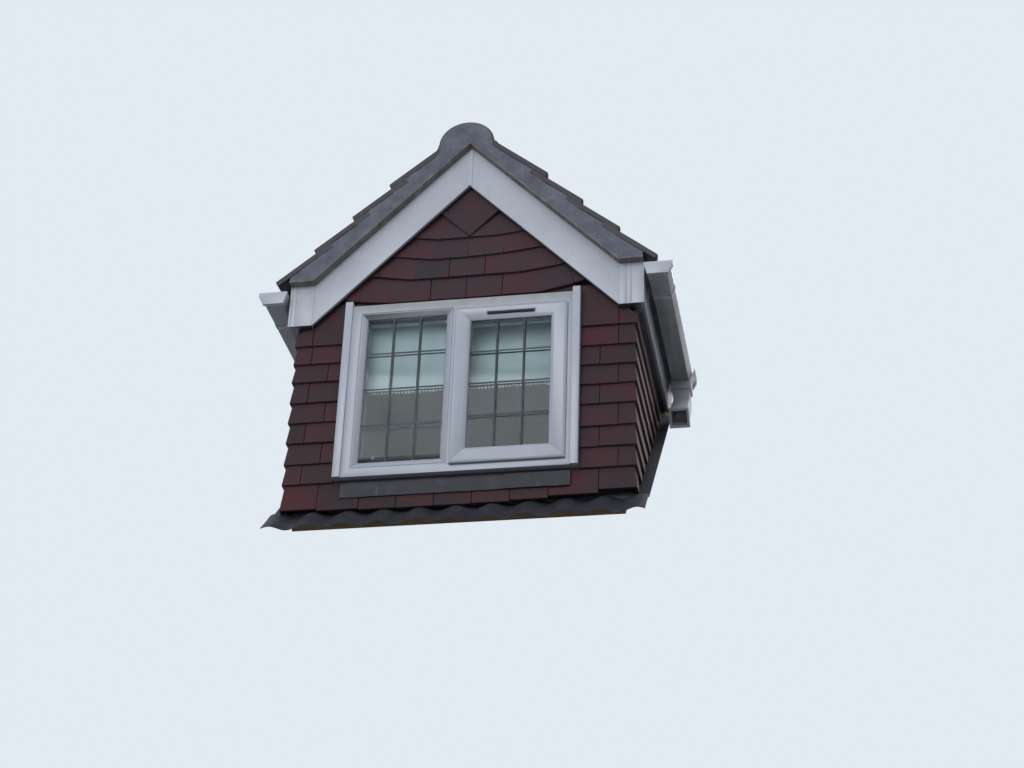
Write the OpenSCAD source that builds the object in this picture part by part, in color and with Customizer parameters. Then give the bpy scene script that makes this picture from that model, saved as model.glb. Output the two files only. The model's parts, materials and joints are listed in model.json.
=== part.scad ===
// Gabled dormer window that stands on the slope of a main roof.
// The origin lies on the sloping face that rests on the main rafters, at the
// middle of the front wall. X runs along the house, Y into it and Z up.

/* [Main roof] */
// Slope of the main roof that the dormer stands on, in degrees
main_pitch = 45; // [40:1:50]
// Height of the main roof's tiles over its rafters, measured square to the slope
main_tile_rise = 75; // [60:1:100]
// Distance between two rolls of the main roof's tiles
main_tile_wave = 160; // [120:5:200]

/* [Walls] */
// Width over the boarded side walls
wall_w = 1470; // [1300:2:1700]
// Thickness of the stud walls
wall_t = 107; // [90:1:160]
// Thickness of the plaster lining
lining_t = 12.5; // [9:0.5:18]
// Depth of the side walls' top under the window's head
plate_drop = 21; // [0:1:80]

/* [Dormer roof] */
// Slope of the dormer's own roof, in degrees
roof_pitch = 45.5; // [43:0.5:47]
// Distance of the fascias' faces beyond the boarded side walls
eaves_out = 89; // [75:1:150]
// Thickness of the roof boards
board_t = 18; // [12:1:25]
// Depth of the rafters, measured square to the slope
rafter_d = 100; // [75:1:125]
// Width of a rafter
rafter_w = 45; // [38:1:63]
// Depth of the rafters' notch over the side walls
birdsmouth = 45; // [20:1:50]
// Distance between rafters
rafter_step = 400; // [300:10:600]
// Thickness of the ridge board
ridge_board_t = 25; // [20:1:38]
// Depth of the ridge board
ridge_board_d = 150; // [125:5:175]

/* [Roof tiles] */
// Exposed length of a course of roof tiles
tile_gauge = 240; // [220:5:260]
// Whole length of a roof tile
tile_len = 315; // [300:5:340]
// Thickness of a roof tile
tile_t = 19.7; // [15:0.1:22]
// Height of a roll over the trough beside it
tile_wave_d = 26; // [15:1:32]
// Overhang of the eaves course beyond the fascias
nose_out = 64; // [40:1:80]
// Thickness of counter battens and battens together
batten_h = 46; // [38:1:50]
// Radius of the half-round ridge tiles, outside
ridge_r = 124; // [115:1:140]
// Length of a ridge tile
ridge_len = 450; // [300:10:600]

/* [Verge] */
// Clearance between the hung tiles' noses and the bargeboards
barge_gap = 12; // [5:1:60]
// Thickness of the bargeboards
barge_t = 18; // [16:1:25]
// Depth of the bargeboards, measured square to the slope
barge_d = 153; // [130:1:170]
// Width of the box ends
box_w = 113; // [95:1:140]
// Thickness of the box ends' plates
box_t = 9; // [6:1:12]
// Overhang of the verge tiles in front of the bargeboards
verge_overhang = 40; // [20:1:50]
// Thickness of the undercloak
undercloak_t = 6; // [4:0.5:10]

/* [Gutters] */
// Gap between the fascias and the gutters
gutter_gap = 6; // [5:0.5:12]
// Width of the gutter at its top
gutter_w = 127; // [100:1:140]
// Height of the gutters' top edge over the fascias' lower edge
gutter_rise = 183; // [170:1:190]
// Depth of the gutter
gutter_d = 60; // [50:1:70]
// Wall of the gutter
gutter_t = 2.5; // [2:0.1:4]
// Distance of the gutters' far ends in front of the main roof's tiles
gutter_short = 101; // [60:1:200]
// Width of the square downpipe
pipe_w = 80; // [65:1:90]

/* [Tile hanging] */
// Exposed height of a course of hung tiles
hung_gauge = 100; // [90:1:115]
// Height of the lowest nose of the front courses
hung_foot_z = 78; // [76:1:110]
// Height of the second nose of the front courses
hung_second_z = 202; // [180:1:220]
// Height of the lowest nose in the gable over the window's head
gable_lap = 23; // [5:1:40]
// Exposed height of a gable course
gable_gauge = 110; // [90:1:115]
// Distance of the tile noses in front of the boarding
hung_out = 55; // [45:1:65]
// Distance that a nose stands out over the course below it
hung_step = 12; // [6:1:18]

/* [Window] */
// Width of the outer frame
frame_w = 1020; // [900:5:1100]
// Height of the outer frame
frame_h = 890; // [800:1:950]
// Place of the window's middle, left of the dormer's middle
frame_shift = 10; // [0:1:40]
// Height of the frame's lower edge
frame_z = 211; // [205:1:230]
// Distance that the outer frame stands out in front of the hung tiles' noses
frame_out = 22; // [0:1:40]
// Depth of the outer frame with its packer
frame_d = 92; // [80:1:110]
// Visible width of the outer frame round the fixed light
frame_face = 46; // [35:1:60]
// Visible width of the outer frame under the opening sash
sash_foot_face = 32; // [25:1:60]
// Visible width of the outer frame over the opening sash
sash_head_face = 56; // [35:1:70]
// Visible width of the outer frame beside the opening sash
sash_side_face = 21; // [15:1:60]
// Visible width of the glazing bead round the fixed light
bead_face = 26; // [15:1:35]
// Width of the opening sash's bars
sash_face = 72; // [50:1:80]
// Depth of the opening sash
sash_d = 70; // [60:1:80]
// Distance that the sash laps over the outer frame
sash_lap = 8; // [5:1:12]
// Visible width of the post between the two lights
mullion_face = 16; // [15:1:60]
// Width of the opening light over its bars
sash_w = 514; // [440:1:520]
// Distance that the sash stands out in front of the frame
sash_proud = 18; // [10:1:25]
// Thickness of the sealed glass units
glass_t = 24; // [20:1:28]
// Length of the trickle vent's hood
vent_len = 220; // [150:5:300]
// Width of the side trims
trim_w = 35; // [25:1:45]
// Height of the side trims over the window's head
trim_rise = 22; // [5:1:40]

/* [Hidden] */

// Clearance between pieces that seat on each other
fit = 0.3;
// Reach of the cutting solids past the dormer
far = 2600;

frame_left = -frame_shift - frame_w / 2;
frame_right = frame_left + frame_w;
frame_top = frame_z + frame_h;
frame_front = -hung_out - frame_out;
frame_back = frame_front + frame_d;
trim_h = frame_h + trim_rise;
gable_foot_z = frame_top + gable_lap;

wall_half = wall_w / 2;
room_half = wall_half - wall_t - lining_t;
cheek_in = wall_half - wall_t;
inner_y = wall_t + lining_t;

sole_t = 50;
valley_board_t = 25;
sole_lift = sole_t / cos(main_pitch);
valley_lift = valley_board_t / cos(main_pitch);
tile_lift = main_tile_rise / cos(main_pitch);

soffit_h = board_t + rafter_d;
plate_z = frame_top - plate_drop;
roof_apex_z = plate_z - birdsmouth + soffit_h / cos(roof_pitch) + wall_half * tan(roof_pitch);
eaves_half = wall_half + eaves_out;
barge_y = hung_out + barge_gap + barge_t;
verge_y = barge_y + verge_overhang;
box_inner = eaves_half - box_w;
barge_top_z = roof_z(box_inner, 0);
barge_low_z = roof_z(box_inner, -barge_d);
soffit_t = 9;
fascia_t = 18;
fascia_in = eaves_half - fascia_t;
ceiling_z = roof_z(cheek_in, -soffit_h);
back_y = roof_apex_z / tan(main_pitch);

wave = main_tile_wave;
tile_step = tile_t + fit;
tile_tilt = atan(tile_step / tile_gauge);
tile_pitch = roof_pitch - tile_tilt;
tile_head_h = batten_h + fit;
tile_nose_h = tile_head_h + tile_step * tile_len / tile_gauge;
crest_nose_h = tile_nose_h + tile_t + tile_wave_d;
eaves_nose = eaves_half + nose_out;
eaves_s = (eaves_nose - crest_nose_h * sin(roof_pitch)) / cos(roof_pitch);
ridge_cover = 100;
course_count = floor((eaves_s - ridge_cover) / tile_gauge);
head_x = 22;
ridge_base_z = top_tile_z(ridge_r);

gutter_inner = eaves_half + gutter_gap;
gutter_mid = gutter_inner + gutter_w / 2;
gutter_top_z = barge_low_z + gutter_rise;
gutter_front_y = -verge_y - 5;
gutter_low_z = gutter_top_z - gutter_d;
gutter_end_y = gutter_low_z - tile_lift - gutter_short;
gutter_taper = 20;

sash_right = frame_right - sash_side_face;
sash_left = sash_right - sash_w;
sash_low = frame_z + sash_foot_face;
sash_top = frame_top - sash_head_face;
sash_front = frame_front - sash_proud;
sash_back = sash_front + sash_d;
sash_glass_in = 28;
sash_glass_y = sash_front + sash_glass_in;
fixed_left = frame_left + frame_face;
fixed_right = sash_left - mullion_face;
fixed_low = frame_z + frame_face;
fixed_top = frame_top - frame_face;
fixed_glass_in = 37;
fixed_glass_y = frame_front + fixed_glass_in;
fixed_back = fixed_glass_y + glass_t + fit;
glass_grip = 8;

apron_t = 3;

// Height of a plane that lies h over the roof boards, at distance x from the ridge
function roof_z(x, h) = roof_apex_z + h / cos(roof_pitch) - tan(roof_pitch) * abs(x);

// Point at distance s down the slope and h over the roof boards
function on_roof(s, h) = [
    s * cos(roof_pitch) + h * sin(roof_pitch),
    roof_apex_z - s * sin(roof_pitch) + h * cos(roof_pitch)
];

// Distance from the ridge line at which a plane h over the boards has the height z
function roof_x(z, h) = (roof_apex_z + h / cos(roof_pitch) - z) / tan(roof_pitch);

// Height of the underside of the courses' troughs over the boards, course k
function tile_under(k, s) = tile_nose_h - (nose_s(k) - s) * tile_step / tile_gauge;

// Distance down the slope of the nose of course k, counted from the eaves
function nose_s(k) = eaves_s - k * tile_gauge;

// Height of the trough underside of the eaves course at distance x from the ridge
function eaves_under_z(x) =
    on_roof(eaves_s, tile_nose_h)[1] + (on_roof(eaves_s, tile_nose_h)[0] - x) * tan(tile_pitch);

// Height of a roll over the trough at place y
function roll(y) = tile_wave_d * (1 + cos(360 * (y + verge_y - 12) / wave)) / 2;

// Place of the valley line in the main slope, at distance x from the ridge and
// height n over the main rafters
function valley_s(x, n) =
    (roof_z(x, 0) - n / cos(main_pitch)) / sin(main_pitch) + n * tan(main_pitch);

module side(s) {
    if (s < 0) mirror([1, 0, 0]) children();
    else children();
}

// Draws a profile given as (x, z) and runs it along Y
module along_y(from, to) {
    translate([0, to, 0]) rotate([90, 0, 0]) linear_extrude(to - from) children();
}

// Draws a profile given as (y, z) and runs it along X
module along_x(from, to) {
    translate([from, 0, 0]) rotate([90, 0, 90]) linear_extrude(to - from) children();
}

// Point (y, z) at distance s up the main slope and n over the main rafters
function on_main(s, n) = [
    s * cos(main_pitch) - n * sin(main_pitch),
    s * sin(main_pitch) + n * cos(main_pitch)
];

// Draws a flat shape given as (x, s) on the main slope, n over the main rafters
module on_slope(n, t) {
    rotate([main_pitch, 0, 0]) translate([0, 0, n]) linear_extrude(t) children();
}

// Everything that lies at least lift over the main rafters, measured upright
module over_slope(lift) {
    along_x(-far, far) polygon([
        [-far, -far * tan(main_pitch) + lift],
        [far, far * tan(main_pitch) + lift],
        [-far, far * tan(main_pitch) + lift]
    ]);
}

// Keeps the children above the main slope
module cut_by_slope(lift) {
    intersection() {
        children();
        over_slope(lift);
    }
}

module box_from(low, high) {
    translate(low) cube(high - low);
}

// Layer between heights h0 and h1 over the boards, from x0 to x1, ends upright
module roof_layer(x0, x1, h0, h1) {
    polygon([
        [x0, roof_z(x0, h0)], [x1, roof_z(x1, h0)],
        [x1, roof_z(x1, h1)], [x0, roof_z(x0, h1)]
    ]);
}

sole_front_s = -10;
sole_tail = 40;
sole_back_s = inner_y / cos(main_pitch) + sole_t * tan(main_pitch);
cheek_back_s = (plate_z - sole_lift) / sin(main_pitch) + sole_t * tan(main_pitch);

module front_sole_timber() {
    color("burlywood") on_slope(0, sole_t) polygon([
        [-wall_half, sole_front_s], [wall_half, sole_front_s],
        [wall_half, sole_back_s], [-wall_half, sole_back_s]
    ]);
}

module side_sole_timbers() {
    color("burlywood") for (s = [-1, 1]) side(s) on_slope(0, sole_t) polygon([
        [cheek_in, sole_back_s], [wall_half, sole_back_s],
        [wall_half, cheek_back_s + sole_tail], [cheek_in, cheek_back_s + sole_tail]
    ]);
}

valley_board_low = 130;
valley_board_high = 160;

module valley_boards() {
    color("burlywood") on_slope(0, valley_board_t) polygon([
        [-fascia_in, valley_s(fascia_in, valley_board_t) - valley_board_low],
        [0, valley_s(0, valley_board_t) - valley_board_low],
        [fascia_in, valley_s(fascia_in, valley_board_t) - valley_board_low],
        [fascia_in, valley_s(fascia_in, valley_board_t) + valley_board_high],
        [0, valley_s(0, valley_board_t) + valley_board_high],
        [-fascia_in, valley_s(fascia_in, valley_board_t) + valley_board_high]
    ]);
}

header_d = 150;
header_t = 50;
header_s = ceiling_z / sin(main_pitch);

module header_lining() {
    color("whitesmoke") on_slope(-header_d, header_d) polygon([
        [-wall_half, header_s], [wall_half, header_s],
        [wall_half, header_s + lining_t], [-wall_half, header_s + lining_t]
    ]);
}

module opening_header() {
    color("burlywood") on_slope(-header_d, header_d) polygon([
        [-wall_half, header_s + lining_t], [wall_half, header_s + lining_t],
        [wall_half, header_s + lining_t + header_t], [-wall_half, header_s + lining_t + header_t]
    ]);
}

module front_wall() {
    color("tan") cut_by_slope(sole_lift) difference() {
        along_y(0, wall_t) polygon([
            [-wall_half, 0], [wall_half, 0], [wall_half, roof_z(wall_half, -board_t)],
            [0, roof_z(0, -board_t)], [-wall_half, roof_z(wall_half, -board_t)]
        ]);
        box_from([frame_left, -1, frame_z], [frame_right, wall_t + 1, frame_top]);
    }
}

module cheek_walls() {
    color("tan") for (s = [-1, 1]) side(s) cut_by_slope(sole_lift)
        box_from([cheek_in, wall_t, 0], [wall_half, far, plate_z]);
}

module front_lining() {
    color("whitesmoke") cut_by_slope(sole_lift) difference() {
        box_from([-cheek_in, wall_t, 0], [cheek_in, inner_y, ceiling_z]);
        box_from([frame_left, 0, frame_z], [frame_right, far, frame_top + 1]);
    }
}

module cheek_linings() {
    color("whitesmoke") for (s = [-1, 1]) side(s) along_x(room_half, cheek_in) polygon([
        [inner_y, ceiling_z], on_main(sole_back_s, sole_t), on_main(sole_back_s, 0),
        [ceiling_z / tan(main_pitch), ceiling_z]
    ]);
}

module ceiling_lining() {
    color("whitesmoke") cut_by_slope(0)
        box_from([-room_half, wall_t, ceiling_z], [room_half, far, ceiling_z + lining_t]);
}

tie_d = 95;
tie_z = ceiling_z + lining_t;
tie_half = roof_x(tie_z, -soffit_h);
rafter_ys = [for (y = wall_t; y < back_y - rafter_w; y = y + rafter_step) y];

module ceiling_ties() {
    color("burlywood") cut_by_slope(valley_lift) for (y = rafter_ys)
        if (y < ceiling_z - rafter_w)
            along_y(y + rafter_w, y + 2 * rafter_w) polygon([
                [-tie_half, tie_z], [tie_half, tie_z],
                [roof_x(tie_z + tie_d, -soffit_h), tie_z + tie_d],
                [-roof_x(tie_z + tie_d, -soffit_h), tie_z + tie_d]
            ]);
}

soffit_top_z = barge_low_z + soffit_t;

// Outline of one rafter, from the ridge board to the fascia, with its birdsmouth
module rafter_outline(x0) {
    polygon([
        [x0, roof_z(x0, -board_t)],
        [fascia_in, roof_z(fascia_in, -board_t)],
        [fascia_in, soffit_top_z],
        [roof_x(soffit_top_z, -soffit_h), soffit_top_z],
        [wall_half, roof_z(wall_half, -soffit_h)],
        [wall_half, plate_z],
        [roof_x(plate_z, -soffit_h), plate_z],
        [x0, roof_z(x0, -soffit_h)]
    ]);
}

fly_y = -barge_y + barge_t;

module rafters() {
    color("burlywood") for (s = [-1, 1]) side(s) {
        cut_by_slope(valley_lift) for (y = rafter_ys)
            along_y(y, y + rafter_w) rafter_outline(ridge_board_t / 2);
        along_y(fly_y, 0)
            roof_layer(ridge_board_t / 2, box_inner - box_t, -soffit_h, -board_t);
    }
}

module ridge_board() {
    color("burlywood") cut_by_slope(valley_lift) {
        along_y(wall_t, far) polygon(ridge_board_outline());
        along_y(fly_y, 0) polygon(ridge_board_outline());
    }
}

function ridge_board_outline() = [
    [-ridge_board_t / 2, roof_z(0, -board_t) - ridge_board_d],
    [ridge_board_t / 2, roof_z(0, -board_t) - ridge_board_d],
    [ridge_board_t / 2, roof_z(ridge_board_t / 2, -board_t)],
    [0, roof_z(0, -board_t)],
    [-ridge_board_t / 2, roof_z(ridge_board_t / 2, -board_t)]
];

ridge_gap = 5;

module roof_boards() {
    color("sandybrown") for (s = [-1, 1]) side(s) cut_by_slope(valley_lift)
        along_y(fly_y, far) roof_layer(ridge_gap, fascia_in, -board_t, 0);
}

counter_h = 19;
batten_w = 38;
batten_keep = 120;
batten_head = 60;
batten_end_y = back_y - (valley_board_t + batten_keep) / cos(main_pitch) - 2 * rafter_w;

module roof_battens() {
    color("peru") for (s = [-1, 1]) side(s)
        cut_by_slope((valley_board_t + batten_keep) / cos(main_pitch)) {
            for (y = rafter_ys) if (y < batten_end_y)
                along_y(y, y + rafter_w)
                    roof_layer(batten_head, fascia_in, 0, counter_h);
            along_y(0, rafter_w) roof_layer(batten_head, fascia_in, 0, counter_h);
            for (k = [0 : course_count - 1])
                along_y(0, far) batten_outline(nose_s(k) - tile_len);
        }
}

module batten_outline(s) {
    polygon([on_roof(s, counter_h), on_roof(s + batten_w, counter_h),
        on_roof(s + batten_w, batten_h), on_roof(s, batten_h)]);
}

wave_steps = 8;
tile_tail = 60;
tile_back_y = back_y + tile_tail;
wave_ys = [for (i = [0 : ceil((tile_back_y + verge_y) * wave_steps / wave)])
    -verge_y + i * wave / wave_steps];
tile_cut_rise = 100;

// Wavy section of a course, given as (y, height over its trough's underside)
module tile_section() {
    polygon(concat(
        [for (y = wave_ys) [y, roll(y)]],
        [for (i = [len(wave_ys) - 1 : -1 : 0]) [wave_ys[i], roll(wave_ys[i]) + tile_t]]
    ));
}

// One course from its nose up the slope, tilted as it lies on the course below
module tile_course(k) {
    nose = on_roof(nose_s(k), tile_nose_h);
    run = k < course_count - 1 ? tile_len : nose[0] / cos(tile_pitch);
    translate([nose[0], 0, nose[1]]) rotate([0, tile_pitch, 0])
        translate([-run, 0, 0]) rotate([90, 0, 90]) linear_extrude(run) tile_section();
}

module roof_tiles(s) {
    color("dimgray") side(s) intersection() {
        for (k = [0 : course_count - 1]) tile_course(k);
        over_slope(tile_cut_rise / cos(main_pitch));
        box_from([head_x, -far, 0], [far, far, far]);
    }
}

ridge_t = 15;
ridge_back_y = back_y + 30;

module ridge_tiles() {
    color("slategray") cut_by_slope(tile_cut_rise / cos(main_pitch))
        for (y = [-verge_y : ridge_len : ridge_back_y])
            along_y(y, y + ridge_len - fit) difference() {
                translate([0, ridge_base_z]) circle(ridge_r, $fn = 48);
                translate([0, ridge_base_z]) circle(ridge_r - ridge_t, $fn = 48);
                polygon([[-far, top_tile_z(far)], [0, top_tile_z(0)], [far, top_tile_z(far)],
                    [0, -far]]);
                translate([-far, -far]) square([2 * far, far + ridge_base_z]);
            }
}

mortar_front = 4;
mortar_d = 26;
mortar_roll = roll(-verge_y + mortar_front + mortar_d) - fit;

// Underside of the verge tiles down the slope, as the mortar meets it
function mortar_top() = [for (k = [course_count - 1 : -1 : 0])
    let (
        head = max(nose_s(k) - tile_len, 0),
        low = k == 0 ? nose_s(0) - 6 : nose_s(k) - (tile_len - tile_gauge)
    )
    each [
        on_roof(head, tile_under(k, head) + mortar_roll),
        on_roof(low, tile_under(k, low) + mortar_roll)
    ]];

module verge_mortar() {
    color("gray") along_y(-verge_y + mortar_front, -verge_y + mortar_front + mortar_d) {
        for (s = [-1, 1]) scale_x(s) polygon(concat(
            [[0, roof_z(0, undercloak_t)], [0, roof_z(0, tile_head_h)]],
            [for (p = mortar_top()) if (p[0] < eaves_half) p],
            [[eaves_half, barge_top_z + undercloak_t + 8],
                [eaves_half, barge_top_z + undercloak_t],
                [roof_x(barge_top_z + undercloak_t, undercloak_t), barge_top_z + undercloak_t]]
        ));
        intersection() {
            translate([0, ridge_base_z]) circle(ridge_r - ridge_t - fit, $fn = 48);
            polygon([[0, far], [-far, far], [-far, top_tile_z(far)], [-head_x, top_tile_z(head_x)],
                [-head_x + fit, roof_z(head_x, 0)], [head_x - fit, roof_z(head_x, 0)],
                [head_x, top_tile_z(head_x)], [far, top_tile_z(far)], [far, far]]);
        }
    }
}

// Height of the rolls of the top course at distance x from the ridge
function top_tile_z(x) =
    on_roof(nose_s(course_count - 1), crest_nose_h)[1] + fit
    + (on_roof(nose_s(course_count - 1), crest_nose_h)[0] - x) * tan(tile_pitch);

module scale_x(s) {
    if (s < 0) mirror([1, 0]) children();
    else children();
}

module undercloak() {
    color("darkseagreen") along_y(-verge_y, 0) {
        for (s = [-1, 1]) scale_x(s) polygon([
            [0, roof_z(0, 0)], [box_inner, barge_top_z],
            [box_inner, roof_z(box_inner, undercloak_t)], [0, roof_z(0, undercloak_t)]
        ]);
    }
    color("darkseagreen") along_y(-verge_y, -barge_y + box_t) for (s = [-1, 1]) scale_x(s)
        polygon([
            [box_inner, barge_top_z], [eaves_half, barge_top_z],
            [eaves_half, barge_top_z + undercloak_t],
            [roof_x(barge_top_z + undercloak_t, undercloak_t), barge_top_z + undercloak_t]
        ]);
}

module bargeboard(s) {
    color("white") side(s) along_y(-barge_y, -barge_y + barge_t)
        roof_layer(0, box_inner, -barge_d, 0);
}

groove_w = 4;
groove_d = 3;
groove_places = [32, 54];

module box_ends() {
    color("white") for (s = [-1, 1]) side(s) {
        difference() {
            box_from([box_inner, -barge_y, barge_low_z], [eaves_half, -barge_y + box_t, barge_top_z]);
            for (x = groove_places)
                box_from([box_inner + x, -barge_y - 1, barge_low_z - 1],
                    [box_inner + x + groove_w, -barge_y + groove_d, barge_top_z + 1]);
        }
        box_from([box_inner, -barge_y + box_t, barge_low_z],
            [eaves_half - fascia_t, 0, barge_low_z + soffit_t]);
        box_from([box_inner, -barge_y + barge_t, barge_low_z + soffit_t],
            [box_inner + box_t, -hung_out, roof_z(box_inner + box_t, -soffit_h)]);
    }
}

module verge_soffit() {
    color("whitesmoke") along_y(fly_y, 0) for (s = [-1, 1]) scale_x(s)
        roof_layer(0, box_inner, -soffit_h - soffit_t, -soffit_h);
}

module eaves_soffits() {
    color("whitesmoke") for (s = [-1, 1]) side(s) cut_by_slope(tile_lift)
        box_from([wall_half, 0, barge_low_z], [fascia_in, far, soffit_top_z]);
}

fascia_top_z = eaves_under_z(eaves_half) - fit;

module fascias() {
    color("white") for (s = [-1, 1]) side(s) cut_by_slope(tile_lift)
        box_from([fascia_in, -barge_y + box_t, barge_low_z], [eaves_half, far, fascia_top_z]);
}

// Outline of the gutter's outside, grown by t on its sides and underneath
module gutter_outline(t) {
    polygon([
        [gutter_inner - t, gutter_top_z],
        [gutter_inner - t, gutter_top_z - 10],
        [gutter_inner + gutter_taper - t / 2, gutter_low_z - t],
        [gutter_inner + gutter_w - gutter_taper - 6 + t / 2, gutter_low_z - t],
        [gutter_inner + gutter_w + t, gutter_top_z - 10],
        [gutter_inner + gutter_w + t, gutter_top_z]
    ]);
}

outlet_in = 60;
outlet_y = gutter_end_y - outlet_in;
outlet_w = pipe_w - 14;

module gutters() {
    color("white") for (s = [-1, 1]) side(s) difference() {
        along_y(gutter_front_y, gutter_end_y) gutter_outline(0);
        along_y(gutter_front_y - 1, gutter_end_y + 1) {
            gutter_outline(-gutter_t);
            translate([gutter_inner + gutter_t, gutter_top_z - 1])
                square([gutter_w - 2 * gutter_t, 3]);
        }
        box_from([gutter_mid - outlet_w / 2, outlet_y - outlet_w / 2, gutter_low_z - 1],
            [gutter_mid + outlet_w / 2, outlet_y + outlet_w / 2, gutter_low_z + gutter_t + 1]);
    }
}

stop_t = 3;
stop_grip = 15;

module gutter_stop_ends() {
    color("white") for (s = [-1, 1]) side(s) for (end = [-1, 1]) {
        plate_y = end < 0 ? gutter_front_y - stop_t : gutter_end_y;
        grip_y = end < 0 ? gutter_front_y : gutter_end_y - stop_grip;
        along_y(plate_y, plate_y + stop_t) gutter_outline(stop_t);
        along_y(grip_y, grip_y + stop_grip) difference() {
            gutter_outline(stop_t);
            gutter_outline(0);
            translate([gutter_inner, gutter_top_z - 1]) square([gutter_w, 3]);
        }
    }
}

strap_w = 25;
strap_y = 65;

// Ring of wall t round the gutter, open at the top, with its rib to the fascia
module gutter_grip(t) {
    difference() {
        gutter_outline(t);
        gutter_outline(0);
        translate([gutter_inner, gutter_top_z - 1]) square([gutter_w, 3]);
    }
    translate([eaves_half, gutter_low_z]) square([gutter_inner - t - eaves_half, gutter_d]);
}

module gutter_straps() {
    color("white") for (s = [-1, 1]) side(s) along_y(strap_y, strap_y + strap_w)
        gutter_grip(stop_t);
}

pipe_t = 3;
outlet_t = 5;
socket_t = 8;
socket_d = 45;
shoe_n = main_tile_rise - 10;
shoe_len = 235;
rim_t = 8;
rim_len = 22;

// Point of the shoe at distance back from its mouth and n over its floor
function on_shoe(back, n) = on_main(shoe_mouth_s + back, shoe_n + n);

// Place along the main slope of the point at place y and height n over the rafters
function main_s(y, n) = (y + n * sin(main_pitch)) / cos(main_pitch);

heel_s = main_s(outlet_y + pipe_w / 2, shoe_n);
shoe_mouth_s = heel_s - shoe_len;

// Side view of the pipe and its shoe, drawn t inside the outer faces
module pipe_side(t, mouth, top) {
    front_y = outlet_y - pipe_w / 2 + t;
    back_y = outlet_y + pipe_w / 2 - t;
    polygon([
        [front_y, top], [front_y, on_main(main_s(front_y, shoe_n + pipe_w - t), shoe_n + pipe_w - t)[1]],
        on_shoe(-mouth, pipe_w - t), on_shoe(-mouth, t),
        [back_y, on_main(main_s(back_y, shoe_n + t), shoe_n + t)[1]], [back_y, top]
    ]);
}

// Outlet that the gutter lies in, with a square pipe and a shoe on the main slope
module downpipes() {
    color("white") for (s = [-1, 1]) side(s) difference() {
        union() {
            along_y(outlet_y - pipe_w / 2 - socket_t, gutter_end_y - stop_grip - fit)
                gutter_grip(outlet_t);
            box_from([gutter_mid - pipe_w / 2 - socket_t, outlet_y - pipe_w / 2 - socket_t,
                gutter_low_z - socket_d],
                [gutter_mid + pipe_w / 2 + socket_t, outlet_y + pipe_w / 2 + 1,
                    gutter_low_z - outlet_t / 2]);
            along_x(gutter_mid - pipe_w / 2, gutter_mid + pipe_w / 2)
                pipe_side(0, 0, gutter_low_z - outlet_t / 2);
            along_x(gutter_mid - pipe_w / 2 - rim_t, gutter_mid + pipe_w / 2 + rim_t) polygon([
                on_shoe(0, -rim_t), on_shoe(0, pipe_w + rim_t),
                on_shoe(rim_len, pipe_w + rim_t), on_shoe(rim_len, -rim_t)
            ]);
        }
        along_x(gutter_mid - pipe_w / 2 + pipe_t, gutter_mid + pipe_w / 2 - pipe_t)
            pipe_side(pipe_t, 1, gutter_low_z - outlet_t - 1);
        box_from([gutter_mid - outlet_w / 2, outlet_y - outlet_w / 2, gutter_low_z - outlet_t - 2],
            [gutter_mid + outlet_w / 2, outlet_y + outlet_w / 2, gutter_low_z + 1]);
    }
}

valley_lead_w = 100;

module valley_lead() {
    color("darkslategray") for (s = [-1, 1]) side(s) {
        intersection() {
            along_y(0, far) roof_layer(0, fascia_in, 0, apron_t);
            over_slope(valley_lift);
            difference() {
                box_from([0, 0, 0], [far, far, far]);
                over_slope((valley_board_t + batten_keep - 10) / cos(main_pitch));
            }
        }
        on_slope(valley_board_t, apron_t) polygon([
            [0, valley_s(0, valley_board_t)],
            [fascia_in, valley_s(fascia_in, valley_board_t)],
            [fascia_in, valley_s(fascia_in, valley_board_t) + valley_lead_w],
            [0, valley_s(0, valley_board_t) + valley_lead_w]
        ]);
    }
}

hung_cut_rise = 60;
nose_room = 60;

// Noses of the hung courses: an even gauge beside the window, another in the gable
hung_noses = concat(
    [hung_foot_z],
    [for (z = hung_second_z; z < gable_foot_z - nose_room; z = z + hung_gauge) z],
    [for (z = gable_foot_z; z < roof_apex_z + gable_gauge; z = z + gable_gauge) z]
);

// Sawtooth of the hung courses, given as (distance out, z), from its foot upwards
function hung_profile() = concat(
    [[0, hung_foot_z]],
    [for (i = [0 : len(hung_noses) - 2])
        each [[hung_out, hung_noses[i]], [hung_out - hung_step, hung_noses[i + 1]]]],
    [[0, hung_noses[len(hung_noses) - 1]]]
);

module front_tile_hanging() {
    color("brown") difference() {
        intersection() {
            along_x(-far, far) mirror([1, 0]) polygon(hung_profile());
            along_y(-far, 0) union() {
                for (s = [-1, 1]) scale_x(s) union() {
                    translate([wall_half, 0]) polygon(hung_profile());
                    square([wall_half, roof_apex_z]);
                }
            }
            along_y(-far, 0) polygon([
                [-far, 0], [far, 0], [far, barge_low_z], [box_inner, barge_low_z],
                [box_inner, roof_z(box_inner, -soffit_h - soffit_t)],
                [0, roof_z(0, -soffit_h - soffit_t)],
                [-box_inner, roof_z(box_inner, -soffit_h - soffit_t)],
                [-box_inner, barge_low_z], [-far, barge_low_z]
            ]);
        }
        box_from([frame_left, -far, frame_z], [frame_right, 1, frame_top]);
        for (x = [frame_left - trim_w, frame_right])
            box_from([x, -far, frame_z], [x + trim_w, 1, frame_z + trim_h]);
        box_from([frame_left, -far, window_apron_low],
            [frame_right, -hung_out + apron_t, frame_z]);
        box_from([frame_left, -far, frame_z - shadow_gap], [frame_right, -shadow_gap, frame_z + 1]);
    }
}

module cheek_tiles() {
    color("brown") for (s = [-1, 1]) side(s) intersection() {
        along_y(0, far) translate([wall_half, 0]) polygon(hung_profile());
        over_slope(hung_cut_rise / cos(main_pitch));
        box_from([0, 0, 0], [far, far, barge_low_z]);
    }
}

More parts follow.
